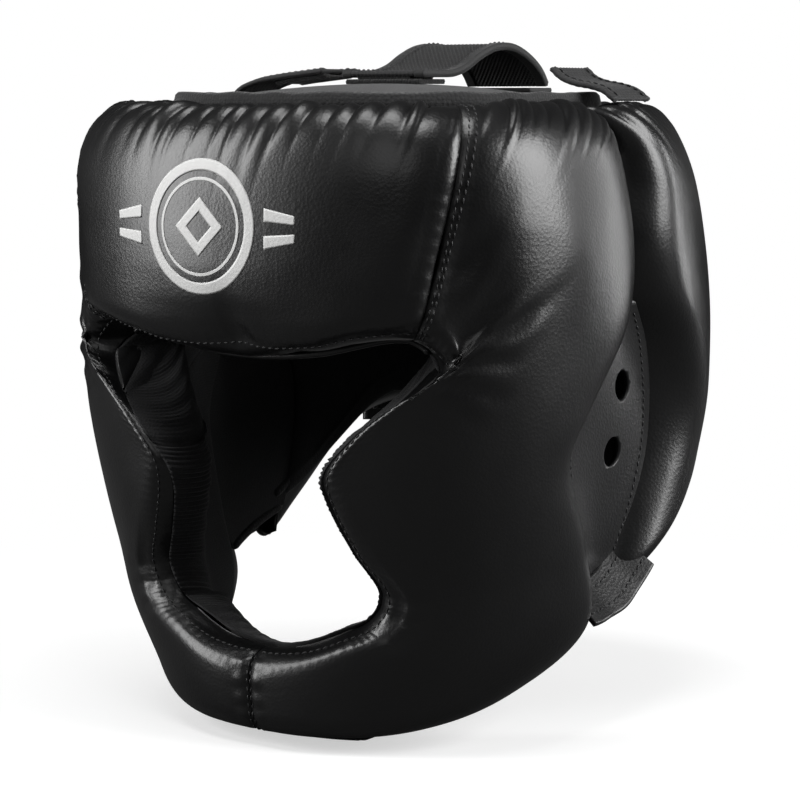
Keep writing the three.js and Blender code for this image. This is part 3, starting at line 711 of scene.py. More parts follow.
def swell(top, outward):
    """Displacement of a cover sewn down round its border and blown out by its stuffing: the outward part of a
    cloth simulation on a coarse copy, capped, smoothed and scaled to make up for START_SMALLER."""
    n, m = top.shape[:2]
    pick_u = np.unique(np.linspace(0, n - 1, CLOTH_COLUMNS).astype(int))
    pick_v = np.unique(np.linspace(0, m - 1, CLOTH_ROWS).astype(int))
    coarse, out = top[np.ix_(pick_u, pick_v)], outward[np.ix_(pick_u, pick_v)]
    faces = quads(grid_index(coarse))
    if np.sum(grid_normals(coarse) * out) < 0:
        faces = faces[:, ::-1]
    sheet = mesh_object("cloth_sheet", coarse.reshape(-1, 3), faces)
    pinned = sheet.vertex_groups.new(name="pinned")
    pinned.add(np.flatnonzero(border_mask(coarse)).tolist(), 1.0, "REPLACE")
    settings = sheet.modifiers.new("cloth", "CLOTH").settings
    for key, value in CLOTH_SETTINGS.items():
        setattr(settings, key, value)
    settings.effector_weights.gravity = 0
    scene = bpy.context.scene
    scene.frame_start, scene.frame_end = 1, CLOTH_FRAMES
    for step in range(1, CLOTH_FRAMES + 1):
        scene.frame_set(step)
    result = sheet.evaluated_get(bpy.context.evaluated_depsgraph_get())
    moved = np.empty(coarse.size)
    result.data.vertices.foreach_get("co", moved)
    scene.frame_set(1)
    bpy.data.objects.remove(sheet, do_unlink=True)
    moved = (moved.reshape(coarse.shape) - ORIGIN) / MM - coarse
    rise = CLOTH_CAP * np.tanh(np.sum(moved * out, -1) / CLOTH_CAP)
    for _ in range(CLOTH_BLURS):
        rise = blurred(rise)
    rise *= START_SMALLER / max(rise.mean(), START_SMALLER / 2)
    fine = smooth_rows(np.column_stack([pick_u, rise]), np.arange(n))
    fine = smooth_rows(np.column_stack([pick_v, fine.T]), np.arange(m)).T
    return outward * fine[..., None]


def blurred(grid):
    """Each value averaged with its four neighbours."""
    wide = np.pad(grid, 1, mode="edge")
    return (2 * grid + wide[:-2, 1:-1] + wide[2:, 1:-1] + wide[1:-1, :-2] + wide[1:-1, 2:]) / 6


# ---- Front ring of pads ----
ROWS = 84  # points across a leather pad
FACE_ROWS = slice(12, 74)  # of those, the ones on its face
RIM_GATHER_END = 4.9  # outline number at which the gathers of the top edge stop
SEAM_STITCHES = (1.9, 3.4)  # distances of the stitch rows from a seam


def seam_distance(turn, height):
    """Distance from the nearer end seam, measured along each row of places."""
    run = grid_run(on_surface(FACE, turn, height), 0)
    return np.minimum(run, run[-1:] - run)


def straight_across(across, t):
    """Even steps from the first to the last value of each row."""
    return across[:, :1] + (across[:, -1:] - across[:, :1]) * t


def ring_pad(name, number, seed):
    """Leather pad between two seams: the piece, and its outer grid's points, normals and distances in."""
    slant = -0.55 if number.max() < 0 else 0.25
    number = number[:, None]
    t = np.linspace(0, 1, ROWS)[None, :]
    width = pad_width(number)
    near = (along(LEATHER_START, number), np.minimum(along(OPENING_ROUND, number), 0.4 * width), 6, 0.5)
    far_round = np.minimum(along(OUTER_ROUND, number), 0.5 * width)
    far = (-88, far_round, along(OUTER_RETURN, number), along(OUTER_MIDDLE, number))
    across, level = stuffed_section(t, width, near, far)
    turn, height = across_pad(number, across)
    full = thickness(turn, height)
    seam = seam_distance(turn, height)
    smaller = START_SMALLER * smoothstep(0, 0.5, level) * smoothstep(0, 8, seam)
    groove = 3.4 * np.exp(-seam / 3.2) * smoothstep(0.1, 0.6, level)
    top = lifted(turn, height, full * level - smaller - groove)
    outward = grid_normals(top, lifted(turn, height, full + 5) - top)
    top = top + swell(top, outward)
    rim = face_run(*outer_at(number[:, 0]).T)
    away = grid_run(top[:, ::-1], 1)[:, ::-1]
    on_rim = (1 - smoothstep(RIM_GATHER_END - 0.9, RIM_GATHER_END, np.abs(number))) * smoothstep(1, 7, seam)
    large, small = Gathers(rim[-1, 0], 8.5, seed, slant), Gathers(rim[-1, 0], 4.2, seed + 1)
    relief = 2.6 * large(rim, away) * smoothstep(1, 9, away) * on_rim
    relief += 0.8 * small(rim, away * 1.8) * smoothstep(0, 4, away) * on_rim
    relief += 0.55 * undulation(top, seed + 2) * smoothstep(0.3, 0.9, level)
    relief += 0.22 * uneven_wave(away, 6.1, 2, 11) * bell(seam, 3.5, 3.6) * smoothstep(0.3, 0.8, level)
    relief += 0.05 * uneven_wave(rim, 7.3, 3, 17) * bell(across - across[:, :1], 4, 3.5)
    relief -= crease_depth(turn, height) * smoothstep(0.25, 0.6, level)
    top = raised(top, outward, relief)
    under = level[:, :1] * np.clip(1 - 4 * t, 0, 1) + 0.02 * np.clip(4 * t, 0, 1)
    bottom = lifted(*across_pad(number, straight_across(across, t)), full * under)
    return closed_pad(name, top, bottom), top, outward, across


LINING_FIRST, LINING_LAST = 0.4, 0.78  # where a lining's flat middle begins and ends
PUFF = 1.2  # how far a lining bulges past the leather's edge


def ring_lining(name, number, rows, depth, seed, pleat):
    """Padded lining, depth deep, that meets the leather's edge at the opening."""
    number = number[:, None]
    t = np.linspace(0, 1, rows)[None, :]
    width = pad_width(number)
    start_angle = along(LEATHER_START, number)
    radius = np.minimum(along(OPENING_ROUND, number), 0.4 * width)
    angle = start_angle - (90 + start_angle) * np.clip(t / LINING_FIRST, 0, 1)
    c, d = ellipse(angle)
    opening = opening_at(number)
    full = thickness(opening[..., 0], opening[..., 1])
    inner, outer_round = 0.2 * width, 0.16 * width
    first = (np.where(angle >= 0, radius, inner) + PUFF) * (1 - c) - PUFF
    first_level = np.where(angle >= 0, full * (0.5 + 0.5 * d), full * 0.5 + (full * 0.5 + depth) * d)
    end = width - along(LINING_END, number)
    c, d = ellipse(90 * np.clip((1 - t) / (1 - LINING_LAST), 0, 1))
    middle = np.clip((t - LINING_FIRST) / (LINING_LAST - LINING_FIRST), 0, 1)
    parts = (t <= LINING_FIRST, t >= LINING_LAST)
    flat = inner + middle * (end - outer_round - inner)
    across = in_parts(*parts, first, flat, end - outer_round * (1 - c))
    level = in_parts(*parts, first_level, -depth, -0.6 - (depth - 0.6) * d)
    turn, height = across_pad(number, across)
    top = lifted(turn, height, level - 0.4)
    inward = grid_normals(top, top - lifted(turn, height, level + 5))
    rim = face_run(*opening[:, 0].T)
    relief = 0.5 * undulation(top, seed) - 1.6 * np.exp(-seam_distance(turn, height) / 2.5)
    relief += pleat * uneven_wave(rim, 2.1, 1.5, 7) * bell(t, 0.12, 0.14)
    relief += 0.9 * pleat * uneven_wave(rim, 9.7, 1, 13) * bell(t, 0.2, 0.2)
    top = raised(top, inward, relief)
    under = (level[:, :1] - 0.6) * np.clip(1 - 5 * t, 0, 1) - 0.6 * np.clip(5 * t, 0, 1)
    bottom = lifted(*across_pad(number, straight_across(across, t)), under + 0.35)
    top[..., 2] = np.maximum(top[..., 2], FLAT_BASE)
    bottom[..., 2] = np.maximum(bottom[..., 2], FLAT_BASE + 0.5 * np.sin(np.pi * t))
    return closed_pad(name, top, bottom)


def row_at(across, distance):
    """Index of the row nearest to a distance in from the first row."""
    return int(np.argmin(np.abs(np.median(across - across[:, :1], axis=0) - distance)))


def seam_rows(top, outward, distances):
    """Stitch rows beside the seam at the grid's first column."""
    run = grid_run(top[:, ROWS // 2], 0)
    columns = [int(np.argmin(np.abs(run - distance))) for distance in distances]
    return [(top[i, FACE_ROWS], outward[i, FACE_ROWS]) for i in columns]


def brow_piping():
    """Cord along the forehead pad's lower edge."""
    number = np.linspace(-2.5, 2.5, 150)
    inward, level = stuffed_edge(along(LEATHER_START, number), along(OPENING_ROUND, number), 6, 0.5)
    turn, height = across_pad(number, inward - 1)
    return tube("brow_edge_piping", lifted(turn, height, thickness(turn, height) * level), 1.35, (0, 1, 0))


def line_pad(name, node, numbers, rows, depth, seed, pleat):
    lining = ring_lining(name, numbers, rows, depth, seed, pleat)
    return finish_piece(lining, "front_shell", lining_cloth, "lining", node)


forehead, top, outward, across = ring_pad("forehead_pad", np.linspace(-BROW_SEAM, BROW_SEAM, 270), 3)
finish_piece(forehead, "front_shell", leather, "leather", "forehead_cover", "forehead_foam")
sew("forehead_edge_stitches", lengthwise(top, outward, [row_at(across, 2.6)]), "front_shell")
line_pad("forehead_lining", "forehead_liner", np.linspace(-BROW_SEAM, BROW_SEAM, 130), 56, 5, 11, 0.15)
line_pad("chin_lining", "chin_liner", np.linspace(11, 17, 150), 56, 8, 12, 0.12)
for name, side in SIDES:
    numbers = np.concatenate([np.linspace(BROW_SEAM, 5.1, 200), np.linspace(5.1, CHIN_MIDDLE, 240)[1:]])
    pad, top, outward, across = ring_pad(f"{name}_side_pad", side * numbers, 20 + side)
    nodes = [f"{name}_side_cover", f"{name}_temple_foam", f"{name}_cheek_foam"]
    if side > 0:
        nodes.append("chin_foam")
    finish_piece(pad, "front_shell", leather, "leather", *nodes)
    row = row_at(across[60:], 2.4)
    rows = [(top[4:-3, row], outward[4:-3, row])]
    rows += seam_rows(top, outward, SEAM_STITCHES)
    rows += seam_rows(top[::-1], outward[::-1], SEAM_STITCHES[:1])
    sew(f"{name}_side_stitches", rows, "front_shell")
    numbers = side * np.linspace(BROW_SEAM, 6.5, 120)
    line_pad(f"{name}_temple_lining", f"{name}_temple_liner", numbers, 56, 4.5, 30 + side, 0.2)
    numbers = side * np.linspace(6.5, 11, 260)
    line_pad(f"{name}_cheek_lining", f"{name}_cheek_liner", numbers, 64, 2.2, 40 + side, 0.35)
finish_piece(brow_piping(), "front_shell", leather, "leather", "brow_piping")


# ---- Wings ----
WING_LINING_LOWER = np.array([
    (98, 62), (104, 66), (113, 74), (122, 87), (134, 104), (139, 108), (156, 110), (175, 110),
])
CORNER_LIFT = 0.8  # how much of the lower edge's lean the front lower corner is drawn up by


def wing_column(u):
    """Turn at a wing's foot and the height of its lower edge there."""
    low_turn = WING_LOWER[0, 0] + (WING_END - WING_LOWER[0, 0]) * u
    return low_turn, smooth_rows(WING_LOWER, low_turn)[..., 0]


def wing_front(height):
    return smooth_rows(WING_FRONT[:, ::-1], np.clip(height, WING_FOOT, WING_TOP))[..., 0]


def wing_turn(u, height):
    front = wing_front(height)
    return front + (WING_END - front) * u


def ease(t):
    return 0.5 - 0.5 * np.cos(np.pi * t) * (0.75 + 0.25 * np.cos(np.pi * t) ** 2)


def wing_pad(name, side, seed):
    u, t = ease(np.linspace(0, 1, 170))[:, None], np.linspace(0, 1, 150)[None, :]
    low_turn, low = wing_column(u)
    lean = smooth_rows(WING_LINING_LOWER, low_turn)[..., 0] - low
    up, level = stuffed_section(t, WING_TOP + 2 - low, (-88, 15, lean, 0.6), (-88, 33, 6, 0.5))
    front_rise = pillow(u * WING_LENGTH / WING_ROUND)
    rise = front_rise * pillow((1 - u) * WING_LENGTH / WING_ROUND)
    up = up + CORNER_LIFT * lean * (1 - front_rise) * np.clip(1 - t / NEAR_PART, 0, 1)
    height = low + up
    turn = side * wing_turn(u, height)
    full = thickness(turn, height) * rise
    smaller = START_SMALLER * smoothstep(0, 0.5, level * rise)
    top = lifted(turn, height, np.maximum(full * level - smaller, 0))
    outward = grid_normals(top, lifted(turn, height, full + 15) - top)
    top = top + swell(top, outward)
    rim = face_run(turn[:, -1], height[:, -1])
    away = grid_run(top[:, ::-1], 1)[:, ::-1]
    front = grid_run(top, 0)
    ends = smoothstep(2, 12, front) * smoothstep(2, 12, front[-1:] - front)
    relief = 2.2 * Gathers(rim[-1, 0], 8.0, seed, -0.3)(rim, away) * smoothstep(1, 9, away) * ends
    relief += 0.7 * undulation(top, seed + 1) * smoothstep(0.3, 0.9, level * rise)
    relief += 0.35 * uneven_wave(away, 7.0, 2, 13) * bell(front, 6, 5) * ends ** 0.2
    flat = low + straight_across(up, t)
    bottom = lifted(side * wing_turn(u, flat), flat, full * level[:, :1])
    return closed_pad(name, raised(top, outward, relief), bottom)


def wing_lining(name, side, seed):
    share = ease(np.linspace(0, 1, 90))
    u, v = share[:, None], share[None, :]
    low = smooth_rows(WING_LINING_LOWER, wing_column(u)[0])[..., 0] - 2
    height = low + (WING_TOP - 2 - low) * v
    turn = side * wing_turn(0.012 + 0.976 * u, height)
    rise = pillow(u * 8) * pillow((1 - u) * 8) * pillow(v * 14) * pillow((1 - v) * 9)
    top = lifted(turn, height, -0.6 - rise * (3.6 + 0.8 * bell(height - low, 9, 1.1)))
    top = top - grid_normals(top, top * [1, 1, 0]) * (0.6 * undulation(top, seed) * rise)[..., None]
    return closed_pad(name, top, lifted(turn, height, -0.4))


def wing_lining_binding(name, side):
    turn = np.linspace(105, 172, 90)
    edge = smooth_rows(WING_LINING_LOWER, turn)[:, 0] - 1.5
    return tube(name, lifted(side * turn, edge, -0.6), 2.1)


for name, side in SIDES:
    wing = f"{name}_wing"
    pad = wing_pad(f"{name}_rear_pad", side, 50 + side)
    finish_piece(pad, wing, leather, "leather", f"{name}_rear_cover", f"{name}_rear_foam")
    lining = wing_lining(f"{name}_rear_lining", side, 60 + side)
    finish_piece(lining, wing, lining_cloth, "lining", f"{name}_rear_liner")
    binding = wing_lining_binding(f"{name}_rear_lining_binding", side)
    finish_piece(binding, wing, knit_cloth, "lining")


# ---- Ear panels ----
EAR_FOOT, EAR_TOP = 44, 158
EAR_HOLE_RADIUS, EAR_HOLE_X = 6, 96
EAR_HOLES = [(24, 124), (19, 98.5)]  # (y, height) of the holes
EAR_LINING_FOOT, EAR_LINING_TOP = 47, 160


def ear_front(height):
    """Turn of the front ring's rear edge at a height."""
    places = outer_at(np.linspace(4, 10, 400))
    places = places[np.argsort(places[:, 1])]
    return np.interp(height, places[:, 1], places[:, 0])


def ear_grid(columns, rows, foot, foot_rise, top, front_gap, rear_reach):
    """Shares across and up, turns and heights of a panel between the front ring and the wing."""
    u, v = columns[:, None], rows[None, :]
    low = foot + foot_rise * u
    height = low + (top - low) * v
    turn = (ear_front(height) - front_gap) * (1 - u) + (wing_front(height) + rear_reach) * u
    return u, v, turn, height


def ear_panel(name, side):
    """Leather panel with two holes, its stitch rows and its middle grid."""
    u, v, turn, height = ear_grid(edged(40, 40), np.linspace(0, 1, 90), EAR_FOOT, 6, EAR_TOP, 1.6, 3.2)
    sag = 0.50 - 0.10 * np.sin(np.pi * u) + 0.02 * np.sin(5 * u + 9 * v)
    middle = lifted(side * turn, height, share=sag)
    panel = slab(name, middle, 2.6)
    for y, z in EAR_HOLES:
        bpy.ops.mesh.primitive_cylinder_add(
            vertices=48, radius=EAR_HOLE_RADIUS * MM, depth=0.06,
            location=to_frame(np.array([side * EAR_HOLE_X, y, z])), rotation=(0, math.pi / 2, 0),
        )
        cut_out(panel, bpy.context.object)
    normal = grid_normals(middle, middle * [1, 1, 0])
    surface = middle + normal * 1.35
    return panel, [(surface[column, 4:-4], normal[column, 4:-4]) for column in (5, -6)], middle


def ear_blend(obj):
    """Bakes a piece's placement into its mesh."""
    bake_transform(obj)


for name, side in SIDES:
    panel, rows, middle = ear_panel(f"{name}_ear_flap", side)
    finish_piece(panel, None, thin_leather, "leather", f"{name}_ear_panel")
    ear_blend(panel)
    ear_blend(sew(f"{name}_ear_stitches", rows, None))
    u, v, turn, height = ear_grid(edged(26, 40), edged(50, 110), EAR_LINING_FOOT, 14, EAR_LINING_TOP, 9, 2)
    middle = lifted(side * turn, height, -0.4 + 0.5 * np.sin(4 * u + 7 * v))
    flap = slab(f"{name}_ear_lining_flap", middle, 1.6)
    finish_piece(flap, "front_shell", lining_cloth, "lining", f"{name}_ear_lining")
    binding = tube(f"{name}_ear_lining_binding", lifted(side * turn[2:-2, 0], height[2:-2, 0], -0.6), 1.8)
    finish_piece(binding, "front_shell", knit_cloth, "lining")


# ---- Hem bands and the nape strap ----
# Lower edge of the hem strap, as (turn, height).
HEM_LOWER = np.array([(86, 34), (92.7, 34.7), (99.7, 37.3), (106, 43.7), (111, 53)])
HEM_START, HEM_TURN, HEM_WIDTH = 88.5, 22, 12.5
NAPE_LOW, NAPE_HIGH = 89, 133


def hem_band(name, side):
    """Strap along the lower edge behind the ear, and its stitch rows."""
    u, v = np.linspace(0, 1, 120)[:, None], edged(14, HEM_WIDTH)[None, :]
    turn = HEM_START + HEM_TURN * u
    height = smooth_rows(HEM_LOWER, turn)[..., 0] + HEM_WIDTH * (1 - v)
    middle = lifted(side * turn, height, share=0.42 + 0.55 * v + 0.012 * np.sin(14 * u))
    normal = grid_normals(middle, middle * [1, 1, 0])
    return slab(name, middle, 2.4), lengthwise(middle + normal * 1.25, normal, (5, 12))


def nape_band(name, first, last, offset, thick, low, high, columns):
    """Band on the face surface, offset above it, from turn first to last; with its outer grid and normals."""
    u, v = np.linspace(0, 1, columns)[:, None], edged(30, high - low)[None, :]
    height = low + (high - low) * v + 0.5 * np.sin(u * 7)
    middle = lifted(first + (last - first) * u, height, offset + thick / 2, 1)
    normal = grid_normals(middle, middle * [1, 1, 0])
    return slab(name, middle, thick), middle + normal * (thick / 2 + 0.05), normal


for name, side in SIDES:
    band, rows = hem_band(f"{name}_hem_strap", side)
    finish_piece(band, f"{name}_wing", thin_leather, "leather", f"{name}_hem_band")
    sew(f"{name}_hem_stitches", rows, f"{name}_wing")
for name, node, body, first, last, end in (
    ("nape_strap_sewn_end", "nape_strap_root", "left_wing", 146, 172.4, 2),
    ("nape_closing_strap", "nape_strap", "nape_strap", 173, 221, -3),
):
    band, surface, normal = nape_band(name, first, last, 3.5, 2.4, NAPE_LOW, NAPE_HIGH, 90)
    finish_piece(band, body, thin_leather, "leather", node)
    rows = lengthwise(surface, normal, (4, 7, -8, -5), 2)
    sew(f"{name}_stitches", rows + [(surface[end, 4:-4], normal[end, 4:-4])], body)
for name, node, body, first, last, offset, low, high in (
    ("nape_hook_tape", "nape_hook_patch", "nape_strap", 194, 219, 2.0, NAPE_LOW + 5, NAPE_HIGH - 5),
    ("nape_loop_tape", "nape_loop_patch", "right_wing", 188, 222, 0.5, 106, NAPE_HIGH - 3),
):
    tape = nape_band(name, first, last, offset, 1.1, low, high, 60)[0]
    finish_piece(tape, body, hook_cloth, "hook_and_loop", node)


# ---- Crown ----
CROWN_RISE, CROWN_RIM, CROWN_INSIDE, CROWN_THICK = 8.3, 232.2, 4, 2
CROWN_FIT = 228  # height at which the lining gives the crown its outline
RIM_HEIGHT = 232
SLOT_Y, SLOT_RADIUS, SLOT_STRAIGHT = 53, 9, 44
SLOT_HEIGHTS = (222.0, 252.0)
BINDING_SECTION = [  # (out from the lining, height)
    (-0.9, 230.2), (-1.0, 233.0), (-1.7, 236.0), (-2.8, 237.0), (-3.9, 236.2), (-3.3, 233.0), (-3.2, 230.2),
]
STRAP_ARCH = [  # (y, height) along the middle of the crown strap
    (-4, 244.4), (8, 244.4), (18, 244.8), (26, 246.8), (36, 251.4),
    (47, 255), (58, 255.8), (72, 252), (83, 245), (87, 240),
]
STRAP_HALF, STRAP_EDGE = 20, 4.8
MESH_LONG, MESH_WIDE = 2.4, 1.875  # pitch of the strap's mesh cells
RIGHT_TAB = [(-93, 234), (-88, 238.5), (-80, 241.5), (-68, 243.5), (-56, 244.8), (-44, 246)]
LEFT_TAB = [(93, 234), (88, 237.5), (82, 239.3), (75, 240.5), (69, 242.6), (64.5, 246.2)]
TAB_THICK = 1.6
UP = np.array([0, 0, 1.0])


def crown_edge(turn, out, height):
    """Points out millimetres beyond the crown's outline."""
    edge = on_surface(LINING, turn, CROWN_FIT)
    x, y = edge[..., 0] + out * np.sin(np.radians(turn)), edge[..., 1] - out * np.cos(np.radians(turn))
    return np.stack(np.broadcast_arrays(x, y, height), -1)


def crown_panel():
    """Domed cloth panel with a slot under the strap."""
    turn = np.linspace(0, 360, 160, endpoint=False)[:, None]
    out = np.linspace(0.02, 1, 60)[None, :]
    edge = crown_edge(turn, -CROWN_INSIDE, 0)
    ripple = 0.35 * np.sin(np.radians(turn) * 9 + 2 * np.sin(np.radians(turn) * 2)) * out ** 6
    height = CROWN_RIM + CROWN_RISE * (1 - out ** 2) + ripple
    top = np.dstack([edge[..., 0] * out, edge[..., 1] * out, height])
    index = looped(grid_index(top))
    under = index + height.size
    rim = np.stack([index[:, -1], under[:, -1]], 1)
    faces = np.concatenate([quads(index), quads(under)[:, ::-1], quads(rim)]).tolist()
    faces += [index[:-1, 0][::-1].tolist(), under[:-1, 0].tolist()]
    points = np.concatenate([top.reshape(-1, 3), (top - CROWN_THICK * UP).reshape(-1, 3)])
    panel = mesh_object("crown_panel", points, faces, turn_out=True)
    cut_out(panel, slot_cutter())
    return panel


def slot_cutter():
    """Upright prism with round ends, the shape of the vent slot."""
    angle = np.linspace(0, 2 * np.pi, 48, endpoint=False)
    x = SLOT_RADIUS * np.cos(angle) + SLOT_STRAIGHT / 2 * np.where(np.cos(angle) > 0, 1, -1)
    y = SLOT_Y + SLOT_RADIUS * np.sin(angle)
    n = len(angle)
    points = np.concatenate([np.stack([x, y, np.full(n, z)], 1) for z in SLOT_HEIGHTS])
    faces = [(i, (i + 1) % n, n + (i + 1) % n, n + i) for i in range(n)]
    faces += [tuple(range(n))[::-1], tuple(range(n, 2 * n))]
    return mesh_object("slot", points, faces, turn_out=True)


def crown_band():
    """Knit binding round the crown's rim."""
    turn = np.linspace(0, 360, 240, endpoint=False)
    wobble = 0.25 * np.sin(np.radians(turn) * 17 + 2 * np.sin(np.radians(turn) * 5))
    grid = np.stack([crown_edge(turn, out, z + wobble * (z > RIM_HEIGHT)) for out, z in BINDING_SECTION], 1)
    index = looped(looped(grid_index(grid)).T).T
    points = grid.reshape(-1, 3)
    return mesh_object("crown_knit_band", points, outward_faces(points, quads(index)))


def strap_strip(name, x_low, x_high, thick, columns, dimples=0.0, count=140):
    """Strip of the crown strap, with its outer grid and normals; dimples is the depth of its mesh cells."""
    path = smooth_path(STRAP_ARCH, count)
    x = x_low + (x_high - x_low) * edged(columns, x_high - x_low)[None, :]
    middle = np.stack(np.broadcast_arrays(x, path[:, :1], path[:, 1:]), -1)
    normal = grid_normals(middle, UP)
    lengths, widths = np.pi * grid_run(path, 0)[:, None] / MESH_LONG, np.pi * x / MESH_WIDE
    crossings = np.abs(np.sin(lengths) * np.sin(widths)), np.abs(np.cos(lengths) * np.cos(widths))
    cells = np.maximum(*crossings) ** 3.2
    return slab(name, middle, thick - 2 * dimples * cells, UP), middle + normal * (thick / 2), normal


def cloth_patch(name, x_half, y_low, y_high, base, thick, seed):
    u, v = edged(40, 2 * x_half)[:, None], edged(26, y_high - y_low)[None, :]
    x, y = np.broadcast_arrays(-x_half + 2 * x_half * u, y_low + (y_high - y_low) * v)
    nap = 0.12 * np.random.default_rng(seed).random(x.shape)
    return slab(name, np.dstack([x, y, base + nap]), thick)


def crown_tab(name, path, y_low, y_high, thick, lower=0.0, first=0, dimples=0.0):
    """Strip along a path of (x, height), with a bead along each edge; with its outer grid and normals."""
    path = smooth_path(path, 110)[first:]
    y = y_low + (y_high - y_low) * edged(40, y_high - y_low)[None, :]
    middle = np.stack(np.broadcast_arrays(path[:, :1], y, path[:, 1:] - lower), -1)
    normal = grid_normals(middle, UP)
    bead = 0.5 * (bell(y, y_low + 2.2, 1.2) + bell(y, y_high - 2.2, 1.2))
    run = grid_run(path, 0)[:, None]
    weave = dimples * np.maximum(np.sin(np.pi * run / 1.6) * np.sin(np.pi * y / 1.1), 0)
    return slab(name, middle, thick + 2 * (bead - weave), UP), middle + normal * (thick / 2 + 0.4), normal


finish_piece(crown_panel(), "front_shell", crown_cloth, "lining", "crown_cap")
finish_piece(crown_band(), "front_shell", knit_cloth, "webbing", "crown_binding")
tape = cloth_patch("crown_loop_tape", 18, -4, 14, 241.2, 1.9, 1)
finish_piece(tape, "front_shell", hook_cloth, "hook_and_loop", "crown_loop_patch")
tape = cloth_patch("crown_hook_tape", 13, -3, 13, 242.8, 1.5, 2)
finish_piece(tape, "crown_strap", hook_cloth, "hook_and_loop", "crown_hook_patch")
sewn_end = cloth_patch("crown_strap_sewn_end", STRAP_HALF, 73, 90, ANCHOR_Z, 2.2, 3)
finish_piece(sewn_end, "front_shell", strap_cloth, "webbing", "crown_strap_anchor")
strip = strap_strip("crown_strap_mesh_panel", -STRAP_HALF + 4.5, STRAP_HALF - 4.5, 2.2, 110, 0.85, 340)[0]
finish_piece(strip, "crown_strap", strap_cloth, "webbing", "crown_strap_mesh")
for name, side in SIDES:
    low, high = sorted((side * (STRAP_HALF - STRAP_EDGE), side * STRAP_HALF))
    strip, surface, normal = strap_strip(f"crown_strap_{name}_edge", low, high, 3.0, 8)
    finish_piece(strip, "crown_strap", strap_cloth, "webbing", f"crown_strap_binding_{name}")
    inner = 3 if side > 0 else -4
    sew(f"crown_strap_{name}_stitches", lengthwise(surface, normal, [inner]), "crown_strap")
for body, path, y_low, y_high in (("left_tab", LEFT_TAB, 18, 46), ("right_tab", RIGHT_TAB, 14, 40)):
    name = body.replace("tab", "crown_tab")
    tab, surface, normal = crown_tab(name, path, y_low, y_high, TAB_THICK, dimples=0.3)
    finish_piece(tab, body, strap_cloth, "webbing", body)
    sew(f"{body}_stitches", lengthwise(surface, normal, (7, -8)), body)
tape = crown_tab("right_crown_tab_hook_tape", RIGHT_TAB, 17, 37, 0.9, 2.1, 52)[0]
finish_piece(tape, "right_tab", hook_cloth, "hook_and_loop", "right_tab_hook")


# ---- Plain printed emblem on the forehead: two rings round a diamond, between two pairs of bars ----
PRINT_LIFT, PRINT_THICK = 0.12, 0.1
EMBLEM = np.array([-6, 188])  # distance round the brow and height of its centre
BAR_START, BAR_LENGTH = 29, 13
BROW_TURNS = np.linspace(-60, 60, 121)
BROW_RUN = face_run(BROW_TURNS, 185.0)[:, 0]
BROW_RUN = BROW_RUN - BROW_RUN[60]
BROW_TREE = BVHTree.FromObject(forehead, bpy.context.evaluated_depsgraph_get())
white_print = print_material("white_print")


def on_brow(x, height):
    """Points just above the forehead pad, from distance round it and height in millimetres."""
    turn = np.interp(x, BROW_RUN, BROW_TURNS)
    start = to_frame(lifted(turn, height, thickness(turn, height) + 14))
    end = to_frame(lifted(turn, height))
    points = np.empty(start.shape)
    for i in np.ndindex(turn.shape):
        ray = Vector(end[i] - start[i]).normalized()
        points[i] = BROW_TREE.ray_cast(Vector(start[i]), ray)[0] - ray * PRINT_LIFT * MM
    return (points - ORIGIN) / MM


def print_strip(name, outer, inner, loop=False):
    """Thin printed shape between two outlines of (x, height)."""
    rows = np.linspace(0, 1, 7)[None, :, None]
    flat = outer[:, None] * (1 - rows) + inner[:, None] * rows
    top = on_brow(flat[..., 0], flat[..., 1])
    outward = grid_normals(top, top * [1, 1, 0])
    piece = closed_pad(name, top, top - PRINT_THICK * outward, loop)
    return finish_piece(piece, "front_shell", white_print, "leather")


def bar_edge(side, height):
    """One long edge of a bar that narrows away from the ring."""
    x = np.linspace(0, BAR_LENGTH, 24)
    return EMBLEM + np.stack([side * (BAR_START + x), height * (1 - 0.35 * x / BAR_LENGTH)], 1)


angle = np.linspace(0, 2 * np.pi, 140, endpoint=False)
circle = np.stack([np.cos(angle), np.sin(angle)], 1)
diamond = circle / np.sum(np.abs(circle), axis=1, keepdims=True)
for name, shape, outer, inner in (
    ("emblem_ring", circle, 25, 20.5),
    ("emblem_inner_ring", circle, 18.2, 17),
    ("emblem_diamond", diamond, 11, 5.5),
):
    print_strip(name, EMBLEM + outer * shape, EMBLEM + inner * shape, loop=True)
for name, side in SIDES:
    for place, sign in (("upper", 1), ("lower", -1)):
        print_strip(f"emblem_{name}_{place}_bar", bar_edge(side, sign * 7.5), bar_edge(side, sign * 2.5))


# ---- Stage, lights and camera ----
VIEW_TURN, VIEW_DISTANCE, VIEW_HEIGHT = 36, 1.0, 0.234
AIM_RIGHT, AIM_HEIGHT = 0.0048, 0.114
LENS, SENSOR = 112.5, 36
SHADOW_REACH = (0.16, 0.42)  # metres from the middle over which the floor's shadow fades to white
FLOOR_HALF, FLOOR_DROP = 14, 0.0004
LIGHT_TARGET = (0, 0, 0.15)
# Name, place seen by the camera (right, towards it, up), width and height in metres, and watts.
SOFTBOXES = (
    ("right_softbox", (1.05, 0.35, 0.60), 0.7, 0.75, 16),
    ("top_softbox", (-0.15, 0.25, 1.35), 0.8, 0.5, 9),
    ("left_softbox", (-1.05, 0.15, 0.45), 0.35, 0.9, 9),
    ("rear_softbox", (1.0, -0.45, 0.30), 0.12, 0.5, 1.6),
    ("front_fill", (-0.5, 1.3, 0.9), 0.8, 0.8, 2),
)


def camera_space(right, back, up):
    """Point given from the head's axis as seen by the camera: metres to the right, towards it and up."""
    a = math.radians(VIEW_TURN)
    x, y = right * math.cos(a) + back * math.sin(a), right * math.sin(a) - back * math.cos(a)
    return Vector((x, y + ORIGIN[1], up))


